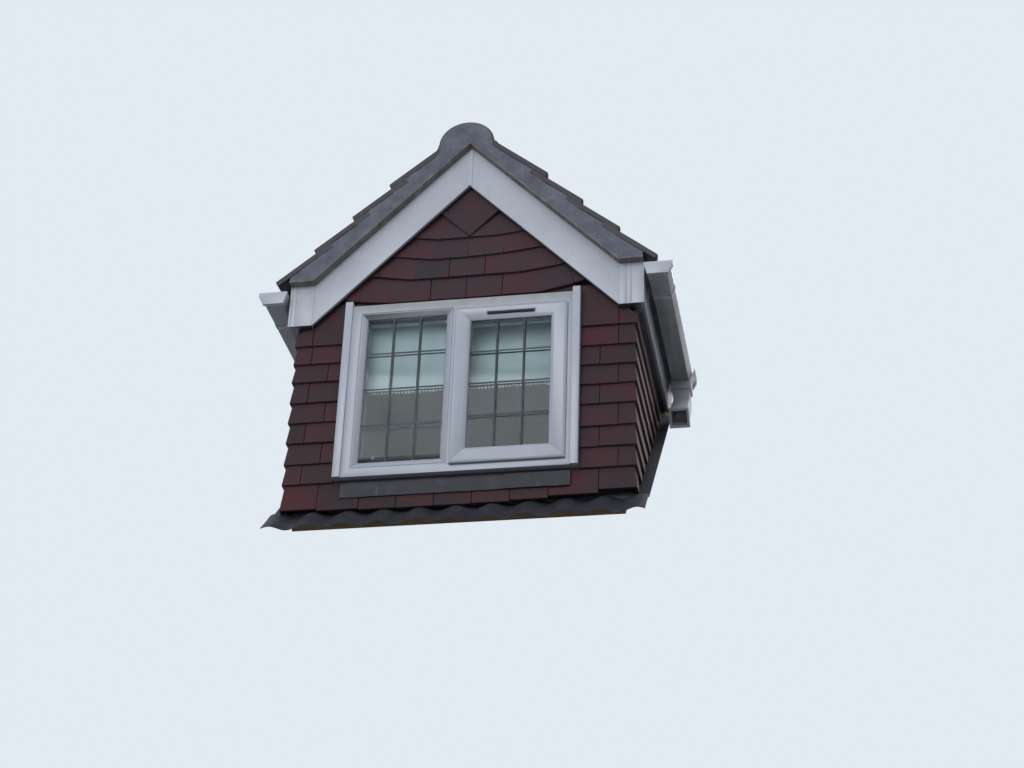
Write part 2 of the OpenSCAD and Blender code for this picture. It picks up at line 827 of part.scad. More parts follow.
apron_drop = 150;
apron_out = 100;
apron_half = wall_half + apron_out;
apron_roll = main_tile_rise - apron_t - sole_t - 1;
apron_xs = [for (i = [0 : ceil(2 * apron_half * wave_steps / wave)])
    min(apron_half, -apron_half + i * wave / wave_steps)];

// Height of the lead's underside over the main rafters, dressed over the rolls
function apron_n(x) = sole_t + 1 + apron_roll * (1 + cos(360 * x / wave)) / 2;

// Sheet lead at the foot of the front wall, dressed over the rolls of the main tiles
module foot_apron() {
    color("slategray") {
        intersection() {
            rotate([main_pitch, 0, 0]) translate([0, far / 2, 0]) rotate([90, 0, 0])
                linear_extrude(far / 2 + apron_drop) polygon(concat(
                    [for (x = apron_xs) [x, apron_n(x)]],
                    [for (i = [len(apron_xs) - 1 : -1 : 0])
                        [apron_xs[i], apron_n(apron_xs[i]) + apron_t]]
                ));
            box_from([-apron_half, -far, -far], [apron_half, 0, hung_foot_z - fit]);
        }
        box_from([-wall_half, -apron_t, sole_lift + fit], [wall_half, 0, hung_foot_z - fit]);
    }
}

soaker_t = 2;

// Side flashing: a flange on the main slope with an upstand against the cheek wall
module cheek_soakers() {
    color("slategray") for (s = [-1, 1]) side(s) intersection() {
        union() {
            on_slope(sole_t, soaker_t) polygon([
                [wall_half, 0], [apron_half, 0],
                [apron_half, valley_s(apron_half, sole_t)],
                [wall_half, valley_s(wall_half, sole_t)]
            ]);
            on_slope(sole_t, hung_cut_rise - sole_t) polygon([
                [wall_half, 0], [wall_half + soaker_t, 0],
                [wall_half + soaker_t, cheek_back_s], [wall_half, cheek_back_s]
            ]);
        }
        box_from([0, fit, 0], [far, far, barge_low_z]);
    }
}

window_apron_low = 120;
shadow_gap = 20;

module window_apron() {
    color("slategray") {
        box_from([frame_left, -hung_out, window_apron_low],
            [frame_right, -hung_out + apron_t, frame_z - shadow_gap + apron_t]);
        box_from([frame_left, -hung_out, frame_z - shadow_gap],
            [frame_right, -shadow_gap, frame_z - shadow_gap + apron_t]);
    }
}

// Frame of four mitred bars round the rectangle low to high, drawn from its
// profile given as (distance inwards, y)
module mitred_frame(x0, z0, x1, z1, points) {
    reach = max([for (p = points) p[0]]);
    yz = [for (p = points) [p[1], p[0]]];
    intersection() {
        union() {
            along_x(x0, x1) translate([0, z0]) polygon(yz);
            along_x(x0, x1) translate([0, z1]) mirror([0, 1]) polygon(yz);
        }
        along_y(-far, far) difference() {
            polygon([[x0, z0], [x1, z0], [x1 - reach, z0 + reach], [x1 - reach, z1 - reach],
                [x1, z1], [x0, z1], [x0 + reach, z1 - reach], [x0 + reach, z0 + reach]]);
        }
    }
    intersection() {
        union() {
            translate([x0, 0, z0]) linear_extrude(z1 - z0) polygon(points);
            translate([x1, 0, z0]) linear_extrude(z1 - z0) mirror([1, 0]) polygon(points);
        }
        along_y(-far, far)
            polygon([[x0, z0], [x0 + reach, z0 + reach], [x1 - reach, z0 + reach], [x1, z0],
                [x1, z1], [x1 - reach, z1 - reach], [x0 + reach, z1 - reach], [x0, z1]]);
    }
}

stop_leg = 12;
sash_gap = 2;
chamfer = 5;
sash_bevel = 12;
sash_edge = 10;
glass_slope = 14;

// Outer frame with the post between the lights
module window_frame() {
    hole_left = sash_left + sash_lap;
    hole_right = sash_right - sash_lap;
    hole_low = sash_low + sash_lap;
    hole_top = sash_top - sash_lap;
    color("white") difference() {
        box_from([frame_left, frame_front, frame_z], [frame_right, frame_back, frame_top]);
        mitred_frame(fixed_left - chamfer, fixed_low - chamfer, fixed_right + chamfer,
            fixed_top + chamfer, [
                [0, frame_front - 1], [0, frame_front], [chamfer, frame_front + chamfer],
                [chamfer + 1, frame_front + chamfer], [chamfer + 1, frame_front - 1]
            ]);
        box_from([fixed_left, frame_front - 1, fixed_low], [fixed_right, fixed_back, fixed_top]);
        box_from([fixed_left + bead_face, fixed_back - 1, fixed_low + bead_face],
            [fixed_right - bead_face, far, fixed_top - bead_face]);
        box_from([hole_left, frame_front - 1, hole_low], [hole_right, sash_back, hole_top]);
        box_from([hole_left + stop_leg, sash_back - 1, hole_low + stop_leg],
            [hole_right - stop_leg, far, hole_top - stop_leg]);
    }
}

module glazing_bead() {
    color("white") mitred_frame(fixed_left, fixed_low, fixed_right, fixed_top, [
        [0, frame_front + 6], [4, frame_front + 6], [bead_face, fixed_glass_y - 6],
        [bead_face, fixed_glass_y], [bead_face - glass_grip - fit, fixed_glass_y],
        [bead_face - glass_grip - fit, fixed_back - fit], [0, fixed_back - fit]
    ]);
}

// Opening sash with a lip that laps over the outer frame
module window_sash() {
    color("white") mitred_frame(sash_left, sash_low, sash_right, sash_top, [
        [0, frame_front - fit], [0, sash_front + sash_edge], [sash_bevel, sash_front],
        [sash_face - glass_slope, sash_front], [sash_face, sash_front + glass_slope],
        [sash_face, sash_glass_y],
        [sash_face - glass_grip - fit, sash_glass_y],
        [sash_face - glass_grip - fit, sash_glass_y + glass_t + fit],
        [sash_face, sash_glass_y + glass_t + fit], [sash_face, sash_back - fit],
        [sash_lap + sash_gap, sash_back - fit], [sash_lap + sash_gap, frame_front - fit]
    ]);
}

module fixed_glass() {
    color("lightcyan") box_from(
        [fixed_left + bead_face - glass_grip, fixed_glass_y + fit, fixed_low + bead_face - glass_grip],
        [fixed_right - bead_face + glass_grip, fixed_glass_y + glass_t,
            fixed_top - bead_face + glass_grip]);
}

module sash_glass() {
    color("lightcyan") box_from(
        [sash_left + sash_face - glass_grip, sash_glass_y + fit, sash_low + sash_face - glass_grip],
        [sash_right - sash_face + glass_grip, sash_glass_y + glass_t,
            sash_top - sash_face + glass_grip]);
}

vent_h = 22;
vent_d = 14;
vent_drop = 51;

module trickle_vent() {
    sash_mid = (sash_left + sash_right) / 2;
    vent_z = sash_top - vent_drop;
    color("white") along_x(sash_mid - vent_len / 2, sash_mid + vent_len / 2)
        polygon([
            [sash_front, vent_z], [sash_front, vent_z + vent_h],
            [sash_front - vent_d + 5, vent_z + vent_h - 3],
            [sash_front - vent_d, vent_z + vent_h - 9],
            [sash_front - vent_d, vent_z + 2], [sash_front - vent_d + 2, vent_z + 2],
            [sash_front - vent_d + 2, vent_z + 7], [sash_front - 3, vent_z + 7],
            [sash_front - 3, vent_z]
        ]);
}

trim_front = hung_out + 30;

module window_trims() {
    color("white") for (x = [frame_left - trim_w, frame_right])
        box_from([x, -trim_front, frame_z], [x + trim_w, 0, frame_z + trim_h]);
}

sill_board_t = 18;

module window_board() {
    color("white") box_from([frame_left, frame_back, frame_z],
        [frame_right, inner_y + 25, frame_z + sill_board_t]);
}

blind_y = 45;
blind_drop = 400;
blind_low_z = frame_top - blind_drop;
blind_side = 15;
blind_head = 40;
blind_roll = 15;
blind_hem = 10;
blind_t = 3;

module blind() {
    color("honeydew") {
        box_from([frame_left + blind_side, blind_y - blind_roll, frame_top - blind_head],
            [frame_right - blind_side, blind_y - blind_roll + blind_head, frame_top]);
        box_from([frame_left + blind_side + blind_hem, blind_y, blind_low_z],
            [frame_right - blind_side - blind_hem, blind_y + blind_t, frame_top - blind_head]);
    }
}

front_sole_timber();
side_sole_timbers();
valley_boards();
opening_header();
header_lining();
front_wall();
cheek_walls();
front_lining();
cheek_linings();
ceiling_lining();
ceiling_ties();
rafters();
ridge_board();
roof_boards();
roof_battens();
roof_tiles(-1);  // roof_tiles_left
roof_tiles(1);  // roof_tiles_right
ridge_tiles();
verge_mortar();
undercloak();
bargeboard(-1);  // bargeboard_left
bargeboard(1);  // bargeboard_right
box_ends();
verge_soffit();
eaves_soffits();
fascias();
gutters();
gutter_stop_ends();
gutter_straps();
downpipes();
valley_lead();
front_tile_hanging();
cheek_tiles();
cheek_soakers();
foot_apron();
window_apron();
window_frame();
glazing_bead();
window_sash();
fixed_glass();
sash_glass();
trickle_vent();
window_trims();
window_board();
blind();
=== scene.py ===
# %% [markdown]
# # A gabled dormer with hung tiles
#
# The dormer's carcass comes from a imported CAD model. This lesson dresses it: it
# hangs the wall tiles one by one, lays the roof tiles, dresses the lead, beds
# the verge in mortar, glazes the window and gives every surface a finish worked
# out from its real material, with shade painted into a few of them. Lengths in
# the code are in millimetres and are turned to metres where a mesh is made.

# %% Load the imported frame
import json
import math
import random

import bmesh
import bpy
from mathutils import Matrix, Vector, noise


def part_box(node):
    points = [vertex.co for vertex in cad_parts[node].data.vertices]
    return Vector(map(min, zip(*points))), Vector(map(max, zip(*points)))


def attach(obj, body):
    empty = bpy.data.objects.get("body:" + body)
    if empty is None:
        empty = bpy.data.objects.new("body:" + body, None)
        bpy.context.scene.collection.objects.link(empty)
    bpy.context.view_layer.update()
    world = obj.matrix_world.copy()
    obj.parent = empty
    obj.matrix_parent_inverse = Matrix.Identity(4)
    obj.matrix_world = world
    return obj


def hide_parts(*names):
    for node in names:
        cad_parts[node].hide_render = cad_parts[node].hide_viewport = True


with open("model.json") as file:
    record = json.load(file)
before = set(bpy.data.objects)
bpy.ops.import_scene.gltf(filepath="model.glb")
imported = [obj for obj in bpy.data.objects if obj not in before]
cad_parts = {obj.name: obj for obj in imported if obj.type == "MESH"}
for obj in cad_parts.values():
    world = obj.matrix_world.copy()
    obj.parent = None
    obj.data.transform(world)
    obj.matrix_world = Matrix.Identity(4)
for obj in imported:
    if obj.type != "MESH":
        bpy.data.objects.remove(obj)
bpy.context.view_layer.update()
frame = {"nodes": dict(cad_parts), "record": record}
nodes = frame["nodes"]
MM = 0.001
print("nodes", len(nodes))

# %% [markdown]
# ## The camera
#
# The picture was taken from the ground, low and to the right of the dormer, so
# uprights lean in towards the top. The camera stands where a fit of straight
# edges put it. A long lens of 74 mm keeps that leaning slight.

# %% Camera
YAW, PITCH, ROLL = -0.1942, 0.5363, 0.0358
STAND, FOCAL_PX, IMAGE_PX, SENSOR = Vector((1780.8, -7936.7, -4130.1)), 2106.8, 1024, 36
forward_flat = Vector((math.sin(YAW), math.cos(YAW), 0))
right_flat = Vector((math.cos(YAW), -math.sin(YAW), 0))
upright = Vector((0, 0, 1))
forward = forward_flat * math.cos(PITCH) + upright * math.sin(PITCH)
up = upright * math.cos(PITCH) - forward_flat * math.sin(PITCH)
view_right = right_flat * math.cos(ROLL) + up * math.sin(ROLL)
view_up = up * math.cos(ROLL) - right_flat * math.sin(ROLL)
camera_data = bpy.data.cameras.new("camera")
camera_data.sensor_width = SENSOR
camera_data.lens = SENSOR * FOCAL_PX / IMAGE_PX
camera = bpy.data.objects.new("camera", camera_data)
bpy.context.scene.collection.objects.link(camera)
turn = Matrix((view_right, view_up, -forward)).transposed().to_4x4()
camera.matrix_world = Matrix.Translation(STAND * MM) @ turn
bpy.context.scene.camera = camera

# %% [markdown]
# ## Sizes that the pieces share
#
# The looks sit on the CAD solids. A node's box gives the places that it can,
# and the few angles and thicknesses that a box can't tell are repeated here.

# %% Shared sizes
def node_box(name):
    """Lowest and highest corner of a CAD node in millimetres."""
    low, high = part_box(name)
    return low / MM, high / MM


MAIN_PITCH = math.radians(45)
ROOF_PITCH = math.radians(45.5)
SLOPE = math.tan(ROOF_PITCH)
HUNG_OUT, HUNG_STEP, HUNG_GAUGE, GABLE_GAUGE = 55.0, 12.0, 100.0, 110.0
HUNG_FOOT, HUNG_SECOND, HUNG_CUT_RISE = 78.0, 202.0, 60.0
TILE_GAUGE, TILE_LEN, TILE_T, TILE_STEP = 240.0, 315.0, 23.0, 27.0
WAVE, WAVE_D, BATTEN_H, TILE_CUT_RISE, COURSES = 160.0, 26.0, 46.3, 100.0, 4
RIDGE_R, RIDGE_T, RIDGE_LEN = 124.0, 15.0, 450.0
SOFFIT_H, SOFFIT_T, BARGE_D, UNDERCLOAK_T = 118.0, 9.0, 153.0, 6.0

frame_low, frame_high = node_box("window_frame")
FRAME_L, FRAME_R, FRAME_Z, FRAME_TOP = frame_low.x, frame_high.x, frame_low.z, frame_high.z
FRAME_FRONT = frame_low.y
TRIM_L, TRIM_R = node_box("window_trims")[0].x, node_box("window_trims")[1].x
CORNER = node_box("front_tile_hanging")[1].x
WALL_HALF = CORNER - HUNG_OUT
BARGE_Y = -node_box("bargeboard_right")[0].y
BOX_INNER = node_box("bargeboard_right")[1].x
VERGE_Y = -node_box("undercloak")[0].y
EAVES_HALF = node_box("box_ends")[1].x
BOX_LOW, BOX_TOP = node_box("box_ends")[0].z, node_box("undercloak")[0].z
EAVES_NOSE = node_box("roof_tiles_right")[1].x
APEX = node_box("bargeboard_right")[1].z
GABLE_LAP = 23
GABLE_FOOT = FRAME_TOP + GABLE_LAP


def roof_z(x, h):
    """Height of a plane that lies h over the dormer's roof boards."""
    return APEX + h / math.cos(ROOF_PITCH) - SLOPE * abs(x)


def on_roof(s, h):
    """Distance from the ridge line and height at s down the slope, h over it."""
    return (
        s * math.cos(ROOF_PITCH) + h * math.sin(ROOF_PITCH),
        APEX - s * math.sin(ROOF_PITCH) + h * math.cos(ROOF_PITCH),
    )


print("apex", round(APEX, 1), "eaves", round(EAVES_NOSE, 1), "corner", round(CORNER, 1))

# %% [markdown]
# ## Helpers
#
# A bmesh is worked on in millimetres and shrunk when it is finished. Pieces
# that are repeated get a number on each of their faces, called tone, which the
# materials read to make one tile darker or redder than the next.

# %% Finish a piece
rng = random.Random(45)
slot_of = {part["node"]: part["material_slot"] for part in frame["record"]["subparts"]}


def finish_piece(bm, name, materials, replaced=None, smooth=None):
    """Turns a bmesh in millimetres into an object that rides on the dormer.

    It may stand for the CAD node replaced, which is then hidden.
    """
    bmesh.ops.scale(bm, vec=Vector((MM, MM, MM)), verts=bm.verts)
    mesh = bpy.data.meshes.new(name)
    bm.to_mesh(mesh)
    bm.free()
    for material in materials:
        mesh.materials.append(material)
    piece = bpy.data.objects.new(name, mesh)
    bpy.context.scene.collection.objects.link(piece)
    if smooth is not None:
        for polygon in mesh.polygons:
            polygon.use_smooth = True
        mesh.set_sharp_from_angle(angle=math.radians(smooth))
    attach(piece, "root")
    if replaced:
        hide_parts(replaced)
    print(name, len(mesh.polygons), "faces")
    return piece


# %% Blocks with rounded edges
def bevel_edges(bm, edges, offset, segments, clamp=True):
    """Rounds edges. The clamp keeps neighbouring bevels from crossing."""
    bmesh.ops.bevel(
        bm, geom=edges, offset=offset, offset_type="OFFSET", segments=segments,
        affect="EDGES", profile=0.5, material=-1, clamp_overlap=clamp,
    )


def block(bm, low, high, bevel=0.0, segments=1):
    """Adds a box between two corners, with its edges rounded."""
    low, high = Vector(low), Vector(high)
    place = Matrix.Translation((low + high) / 2) @ Matrix.Diagonal((*(high - low), 1))
    verts = bmesh.ops.create_cube(bm, size=1, matrix=place)["verts"]
    if bevel:
        edges = list({edge for vert in verts for edge in vert.link_edges})
        bevel_edges(bm, edges, bevel, segments, clamp=False)


# %% Tones, joins and cuts
def toned_bmesh():
    """Starts a bmesh whose faces carry a tone."""
    bm = bmesh.new()
    bm.faces.layers.float.new("tone")
    return bm


def added_since(bm, before):
    """Faces that aren't in the set before, and their points."""
    faces = [face for face in bm.faces if face not in before]
    return faces, list({vert for face in faces for vert in face.verts})


def set_tone(bm, faces, shade):
    """Gives faces one tone between 0 and 1."""
    layer = bm.faces.layers.float["tone"]
    for face in faces:
        face[layer] = min(1.0, max(0.0, shade))


def join(bm, part):
    """Moves everything in part into bm."""
    mesh = bpy.data.meshes.new("part")
    part.to_mesh(mesh)
    part.free()
    bm.from_mesh(mesh)
    bpy.data.meshes.remove(mesh)


def cut(bm, point, normal, geom=None):
    """Cuts away what lies beyond a plane and closes the cut."""
    geom = geom or [*bm.verts, *bm.edges, *bm.faces]
    result = bmesh.ops.bisect_plane(
        bm, geom=geom, dist=0.0001, plane_co=Vector(point), plane_no=Vector(normal),
        clear_outer=True, clear_inner=False,
    )
    edges = [item for item in result["geom_cut"] if isinstance(item, bmesh.types.BMEdge)]
    edges = [edge for edge in edges if edge.is_valid and edge.is_boundary]
    if edges:
        bmesh.ops.holes_fill(bm, edges=edges, sides=0)


# %% [markdown]
# A dressed sheet or a bed of mortar starts as a flat grid. Each of its points is
# sent to its place by a function of how far along and across it lies, and the
# sheet then gets its thickness.

# %% Grids and beds
def sheet_grid(bm, columns, rows, place, thickness=0.0):
    """Adds a grid whose points are sent to place(u, v), with u and v from 0 to 1."""
    verts = bmesh.ops.create_grid(bm, x_segments=columns, y_segments=rows, size=0.5)["verts"]
    faces = list({face for vert in verts for face in vert.link_faces})
    for vert in verts:
        vert.co = Vector(place(vert.co.x + 0.5, vert.co.y + 0.5))
    if thickness:
        bmesh.ops.recalc_face_normals(bm, faces=faces)
        bmesh.ops.solidify(bm, geom=faces, thickness=thickness)
    return verts


def bed(bm, stations, section):
    """Runs a closed section along the stations 0 to 1 and closes its ends."""
    count = len(section(0.0))

    def place(u, v):
        return section(u)[round(v * count) % count]

    verts = sheet_grid(bm, stations, count, place)
    bmesh.ops.remove_doubles(bm, verts=verts, dist=0.01)
    rims = [edge for edge in bm.edges if edge.is_boundary]
    bmesh.ops.holes_fill(bm, edges=rims, sides=0)
    bmesh.ops.recalc_face_normals(bm, faces=bm.faces)


# %% [markdown]
# A piece whose CAD shape is right, but whose edges are too sharp, is a copy of
# its node. The triangles are joined to whole faces first, so that only the real
# edges are rounded.

# %% Softened copies of CAD nodes
def copy_node(name):
    """Copies a CAD node into a bmesh in millimetres, with its triangles joined."""
    bm = bmesh.new()
    bm.from_mesh(nodes[name].data)
    bmesh.ops.scale(bm, vec=Vector((1, 1, 1)) / MM, verts=bm.verts)
    bmesh.ops.remove_doubles(bm, verts=bm.verts, dist=0.02)
    bmesh.ops.dissolve_limit(
        bm, angle_limit=math.radians(0.6), verts=bm.verts, edges=bm.edges,
    )
    return bm


def round_edges(bm, bevel, segments=2):
    """Rounds every edge of a bmesh that is sharper than 25 degrees."""
    sharp = [
        edge for edge in bm.edges
        if edge.is_manifold and edge.calc_face_angle(0) > math.radians(25)
    ]
    bevel_edges(bm, sharp, bevel, segments)


def soften_node(node, name, finish, bevel=1.0, segments=2, reshape=None, under=None):
    """Lets a copy of a CAD node with rounded edges stand for it.

    Its faces that look down can take a darker finish of their own, painted shade.
    """
    bm = copy_node(node)
    for vert in bm.verts if reshape else ():
        vert.co = reshape(vert.co)
    round_edges(bm, bevel, segments)
    for face in bm.faces:
        face.material_index = int(under is not None and face.normal.z < -0.8)
    finishes = [finish, under] if under else [finish]
    return finish_piece(bm, name, finishes, node, smooth=35)


def mitre_node(node, name, finish, reshape, bevel=0.7):
    """Does the same for a frame of four bars, with a fine joint at each mitre."""
    low, high = node_box(node)
    bm = bmesh.new()
    for inwards, start, end in (
        (Vector((0, 0, 1)), low, Vector((high.x, 0, low.z))),
        (Vector((0, 0, -1)), Vector((low.x, 0, high.z)), high),
        (Vector((1, 0, 0)), low, Vector((low.x, 0, high.z))),
        (Vector((-1, 0, 0)), Vector((high.x, 0, low.z)), high),
    ):
        bar = copy_node(node)
        along = Vector((abs(inwards.z), 0, abs(inwards.x)))
        cut(bar, start, inwards - along)
        cut(bar, end, inwards + along)
        for vert in bar.verts:
            vert.co = reshape(vert.co)
        round_edges(bar, bevel, 1)
        join(bm, bar)
    return finish_piece(bm, name, [finish], node, smooth=35)


# %% [markdown]
# ## Finishes
#
# One function adds a shader node with its settings and links. Colours are
# written as a painter would mix them, in sRGB hex, and turned to linear light.

# %% Node helper
def linear(hex_colour):
    """Turns an sRGB hex colour into the linear values that shaders use."""
    parts = [int(hex_colour[i : i + 2], 16) / 255 for i in (1, 3, 5)]
    return tuple(c / 12.92 if c <= 0.04045 else ((c + 0.055) / 1.055) ** 2.4 for c in parts) + (1,)


def add_node(tree, kind, inputs=None, stops=(), **settings):
    """Adds one node. A socket as an input's value becomes a link. A ramp takes its stops."""
    node = tree.nodes.new("ShaderNode" + kind)
    for name, value in settings.items():
        setattr(node, name, value)
    for name, value in (inputs or {}).items():
        if isinstance(value, bpy.types.NodeSocket):
            tree.links.new(value, node.inputs[name])
        else:
            node.inputs[name].default_value = value
    if stops:
        elements = node.color_ramp.elements
        while len(elements) < len(stops):
            elements.new(0.5)
        for element, (place, colour) in zip(elements, stops):
            element.position, element.color = place, linear(colour)
    return node


# %% [markdown]
# Most finishes are built in the same steps: patches of noise pick the body
# colour, stains are laid over it, and grains darken it. Each pattern is given by
# its size in millimetres, its detail and its roughness.

# %% Steps of a finish
def start_material(name, **inputs):
    """Starts a material and returns it with its tree, shader and coordinates."""
    material = bpy.data.materials.new(name)
    material.use_nodes = True
    tree = material.node_tree
    shader = tree.nodes["Principled BSDF"]
    for socket, value in inputs.items():
        shader.inputs[socket.replace("_", " ")].default_value = value
    place = add_node(tree, "TexCoord").outputs["Object"]
    return material, tree, shader, place


# %% Patterns, stains and relief
def blotches(place, size_mm, detail, roughness):
    """Settings of a noise whose blotches are about size_mm across."""
    return {"Vector": place, "Scale": 1000 / size_mm, "Detail": detail, "Roughness": roughness}


def patchy(tree, pattern, stops):
    """Colours the blotches of a pattern by how dense they are."""
    dense = add_node(tree, "TexNoise", blotches(*pattern)).outputs["Fac"]
    return add_node(tree, "ValToRGB", {"Fac": dense}, stops).outputs["Color"]


def stained(tree, body, colour, pattern, low, high, most="#ffffff"):
    """Lays a colour over the body where a pattern is denser than low."""
    mask = patchy(tree, pattern, [(low, "#000000"), (high, most)])
    inputs = {0: mask, 6: body, 7: linear(colour)}
    return add_node(tree, "Mix", inputs, data_type="RGBA").outputs[2]


def grainy(tree, body, pattern, dark):
    """Darkens the body between the grains of a pattern."""
    grain = patchy(tree, pattern, [(0.3, dark), (0.7, "#ffffff")])
    inputs = {0: 1.0, 6: body, 7: grain}
    return add_node(tree, "Mix", inputs, data_type="RGBA", blend_type="MULTIPLY").outputs[2]


def surface(tree, shader, body, relief, depth_mm, strength):
    """Gives the shader its colour and a relief, which is a socket or a pattern."""
    if isinstance(relief, tuple):
        relief = add_node(tree, "TexNoise", blotches(*relief)).outputs["Fac"]
    inputs = {"Height": relief, "Strength": strength, "Distance": depth_mm * MM}
    tree.links.new(body, shader.inputs["Base Color"])
    tree.links.new(add_node(tree, "Bump", inputs).outputs["Normal"], shader.inputs["Normal"])


# %% Tone and height
def by_tone(tree, place):
    """Moves a pattern by each tile's own tone, and returns it with the tone."""
    tone = add_node(tree, "Attribute", attribute_name="tone").outputs["Fac"]
    far = add_node(tree, "CombineXYZ", {"X": tone, "Y": tone, "Z": tone}).outputs[0]
    far = add_node(tree, "VectorMath", {0: far, 1: (37, 53, 71)}, operation="MULTIPLY")
    moved = add_node(tree, "VectorMath", {0: place, 1: far.outputs[0]}, operation="ADD")
    return moved.outputs[0], tone


def share_of_height(tree, place, low, high):
    """Rises from 0 at the height low to 1 at high."""
    height = add_node(tree, "SeparateXYZ", {"Vector": place}).outputs["Z"]
    inputs = {"Value": height, "From Min": low, "From Max": high}
    return add_node(tree, "MapRange", inputs).outputs["Result"]


# %% [markdown]
# ### Sand-faced plain tile
#
# Wall tiles of this kind are pressed and faced with sand before they are fired.
# Each one comes out of the kiln a little different, from grey-brown to maroon,
# and the sand gives it a dry, grainy face with hardly any shine. The tiles of
# the gable, under the verge, are a little greyer than those below the eaves.

# %% Sand-faced tile
hung_tile_finish, tree, shader, place = start_material(
    "sand_faced_tile", Roughness=0.78, Specular_IOR_Level=0.35
)
washed = share_of_height(tree, place, 1.05, 1.25)
washed = add_node(tree, "ValToRGB", {"Fac": washed}, [(0.0, "#f5e2e0"), (1.0, "#ffffff")])
place, tone = by_tone(tree, place)
body = add_node(tree, "ValToRGB", {"Fac": tone}, [
    (0.0, "#393034"), (0.3, "#413539"), (0.55, "#48363b"), (0.8, "#4e3338"), (1.0, "#562f36"),
]).outputs["Color"]
body = stained(tree, body, "#3d3538", (place, 120, 2, 0.5), 0.4, 0.7, "#a0a0a0")
body = stained(tree, body, "#662530", (place, 95, 1.5, 0.5), 0.44, 0.74, "#b0b0b0")
body = grainy(tree, body, (place, 3.5, 3, 0.7), "#c9c9c9")
body = add_node(
    tree, "Mix", {0: 1.0, 6: body, 7: washed.outputs["Color"]}, data_type="RGBA",
    blend_type="MULTIPLY",
).outputs[2]
surface(tree, shader, body, (place, 2.5, 4, 0.7), 0.7, 0.8)

# %% [markdown]
# ### Concrete roof tile
#
# Interlocking tiles are extruded concrete with a coloured slurry on top. Rain
# wears the slurry off the rolls, and the pale cement shows as fine specks.

# %% Concrete tile
roof_tile_finish, tree, shader, place = start_material(
    "concrete_roof_tile", Roughness=0.62, Specular_IOR_Level=0.5
)
place, tone = by_tone(tree, place)
slurry = [(0.0, "#373237"), (0.5, "#3f393e"), (1.0, "#484147")]
body = add_node(tree, "ValToRGB", {"Fac": tone}, slurry).outputs["Color"]
body = stained(tree, body, "#4e4a4f", (place, 180, 5, 0.65), 0.4, 0.75)
body = stained(tree, body, "#5f5c60", (place, 28, 6, 0.75), 0.62, 0.7)
body = grainy(tree, body, (place, 4, 3, 0.75), "#bcbcbc")
surface(tree, shader, body, (place, 3.5, 4, 0.7), 0.8, 0.8)

# %% [markdown]
# ### Mortar and fibre cement
#
# The verge is bedded in sand and cement mortar, trowelled smooth and stained by
# rain. Under it lies a strip of fibre cement board, paler, warmer and flatter.

# %% Mortar
mortar_finish, tree, shader, place = start_material(
    "bedding_mortar", Roughness=0.9, Specular_IOR_Level=0.25
)
damp = [(0.3, "#676872"), (0.5, "#777984"), (0.7, "#888b95")]
body = patchy(tree, (place, 120, 5, 0.65), damp)
body = stained(tree, body, "#67605f", (place, 70, 5, 0.7), 0.58, 0.72)
body = grainy(tree, body, (place, 3, 3, 0.8), "#c4c4c4")
surface(tree, shader, body, (place, 6, 5, 0.7), 1.4, 0.9)

undercloak_finish, tree, shader, place = start_material(
    "fibre_cement", Roughness=0.85, Specular_IOR_Level=0.3
)
damp = [(0.3, "#6a6863"), (0.5, "#817f7a"), (0.7, "#97958e")]
surface(tree, shader, patchy(tree, (place, 60, 5, 0.65), damp), (place, 5, 4, 0.7), 0.5, 0.6)

# %% [markdown]
# ### White uPVC
#
# The boards and the window are extruded from white uPVC, smooth and slightly
# glossy. Outdoors it dulls, and rain leaves faint streaks that run downwards.
# So the noise is stretched along Z, and the dirt gathers where it is dense.

# %% White plastic
def white_plastic(name, clean, dirty, amount, roughness, head=None):
    """Makes a uPVC finish: a clean colour, a dirty one and how much of it.

    Around the height head, in metres, a dark band starts: painted shade under the
    tile course above, mixed with dirt that rain off the tiles leaves.
    """
    material, tree, shader, place = start_material(
        name, Roughness=roughness, Specular_IOR_Level=0.5, IOR=1.53
    )
    downwards = add_node(tree, "Mapping", {"Vector": place, "Scale": (1, 1, 0.16)}).outputs[0]
    streaks = patchy(tree, (downwards, 32, 5, 0.6), [(0.45, "#000000"), (0.85, "#ffffff")])
    dust = patchy(tree, (place, 260, 4, 0.6), [(0.35, "#000000"), (0.8, "#ffffff")])
    grime = add_node(tree, "Math", {0: streaks, 1: dust}, operation="MAXIMUM").outputs[0]
    grime = add_node(tree, "Math", {0: grime, 1: amount}, operation="MULTIPLY").outputs[0]
    inputs = {0: grime, 6: linear(clean), 7: linear(dirty)}
    body = add_node(tree, "Mix", inputs, data_type="RGBA").outputs[2]
    if head:
        # the darker head is painted shade under the tile course, mixed with rain dirt
        head_shade_and_dirt = share_of_height(tree, place, head - 0.05, head + 0.05)
        uneven = patchy(tree, (place, 60, 4, 0.6), [(0.2, "#808080"), (0.7, "#ffffff")])
        head_shade_and_dirt = add_node(tree, "Math", {0: head_shade_and_dirt, 1: uneven}, operation="MULTIPLY").outputs[0]
        inputs = {0: head_shade_and_dirt, 6: body, 7: linear("#93948a")}
        body = add_node(tree, "Mix", inputs, data_type="RGBA").outputs[2]
    surface(tree, shader, body, (place, 45, 3, 0.5), 0.25, 0.35)
    return material


# %% The plastics of this dormer
window_plastic = white_plastic("white_upvc_window", "#b6bac4", "#93959b", 0.35, 0.3)
# the frame's head is darker: painted shade under the tiles, and dirt
frame_plastic = white_plastic(
    "white_upvc_frame", "#b2b6c0", "#8e9095", 0.35, 0.32, head=(FRAME_TOP - 45) * MM
)
board_plastic = white_plastic("white_upvc_board", "#bbbfc8", "#8b8d8d", 0.4, 0.36)
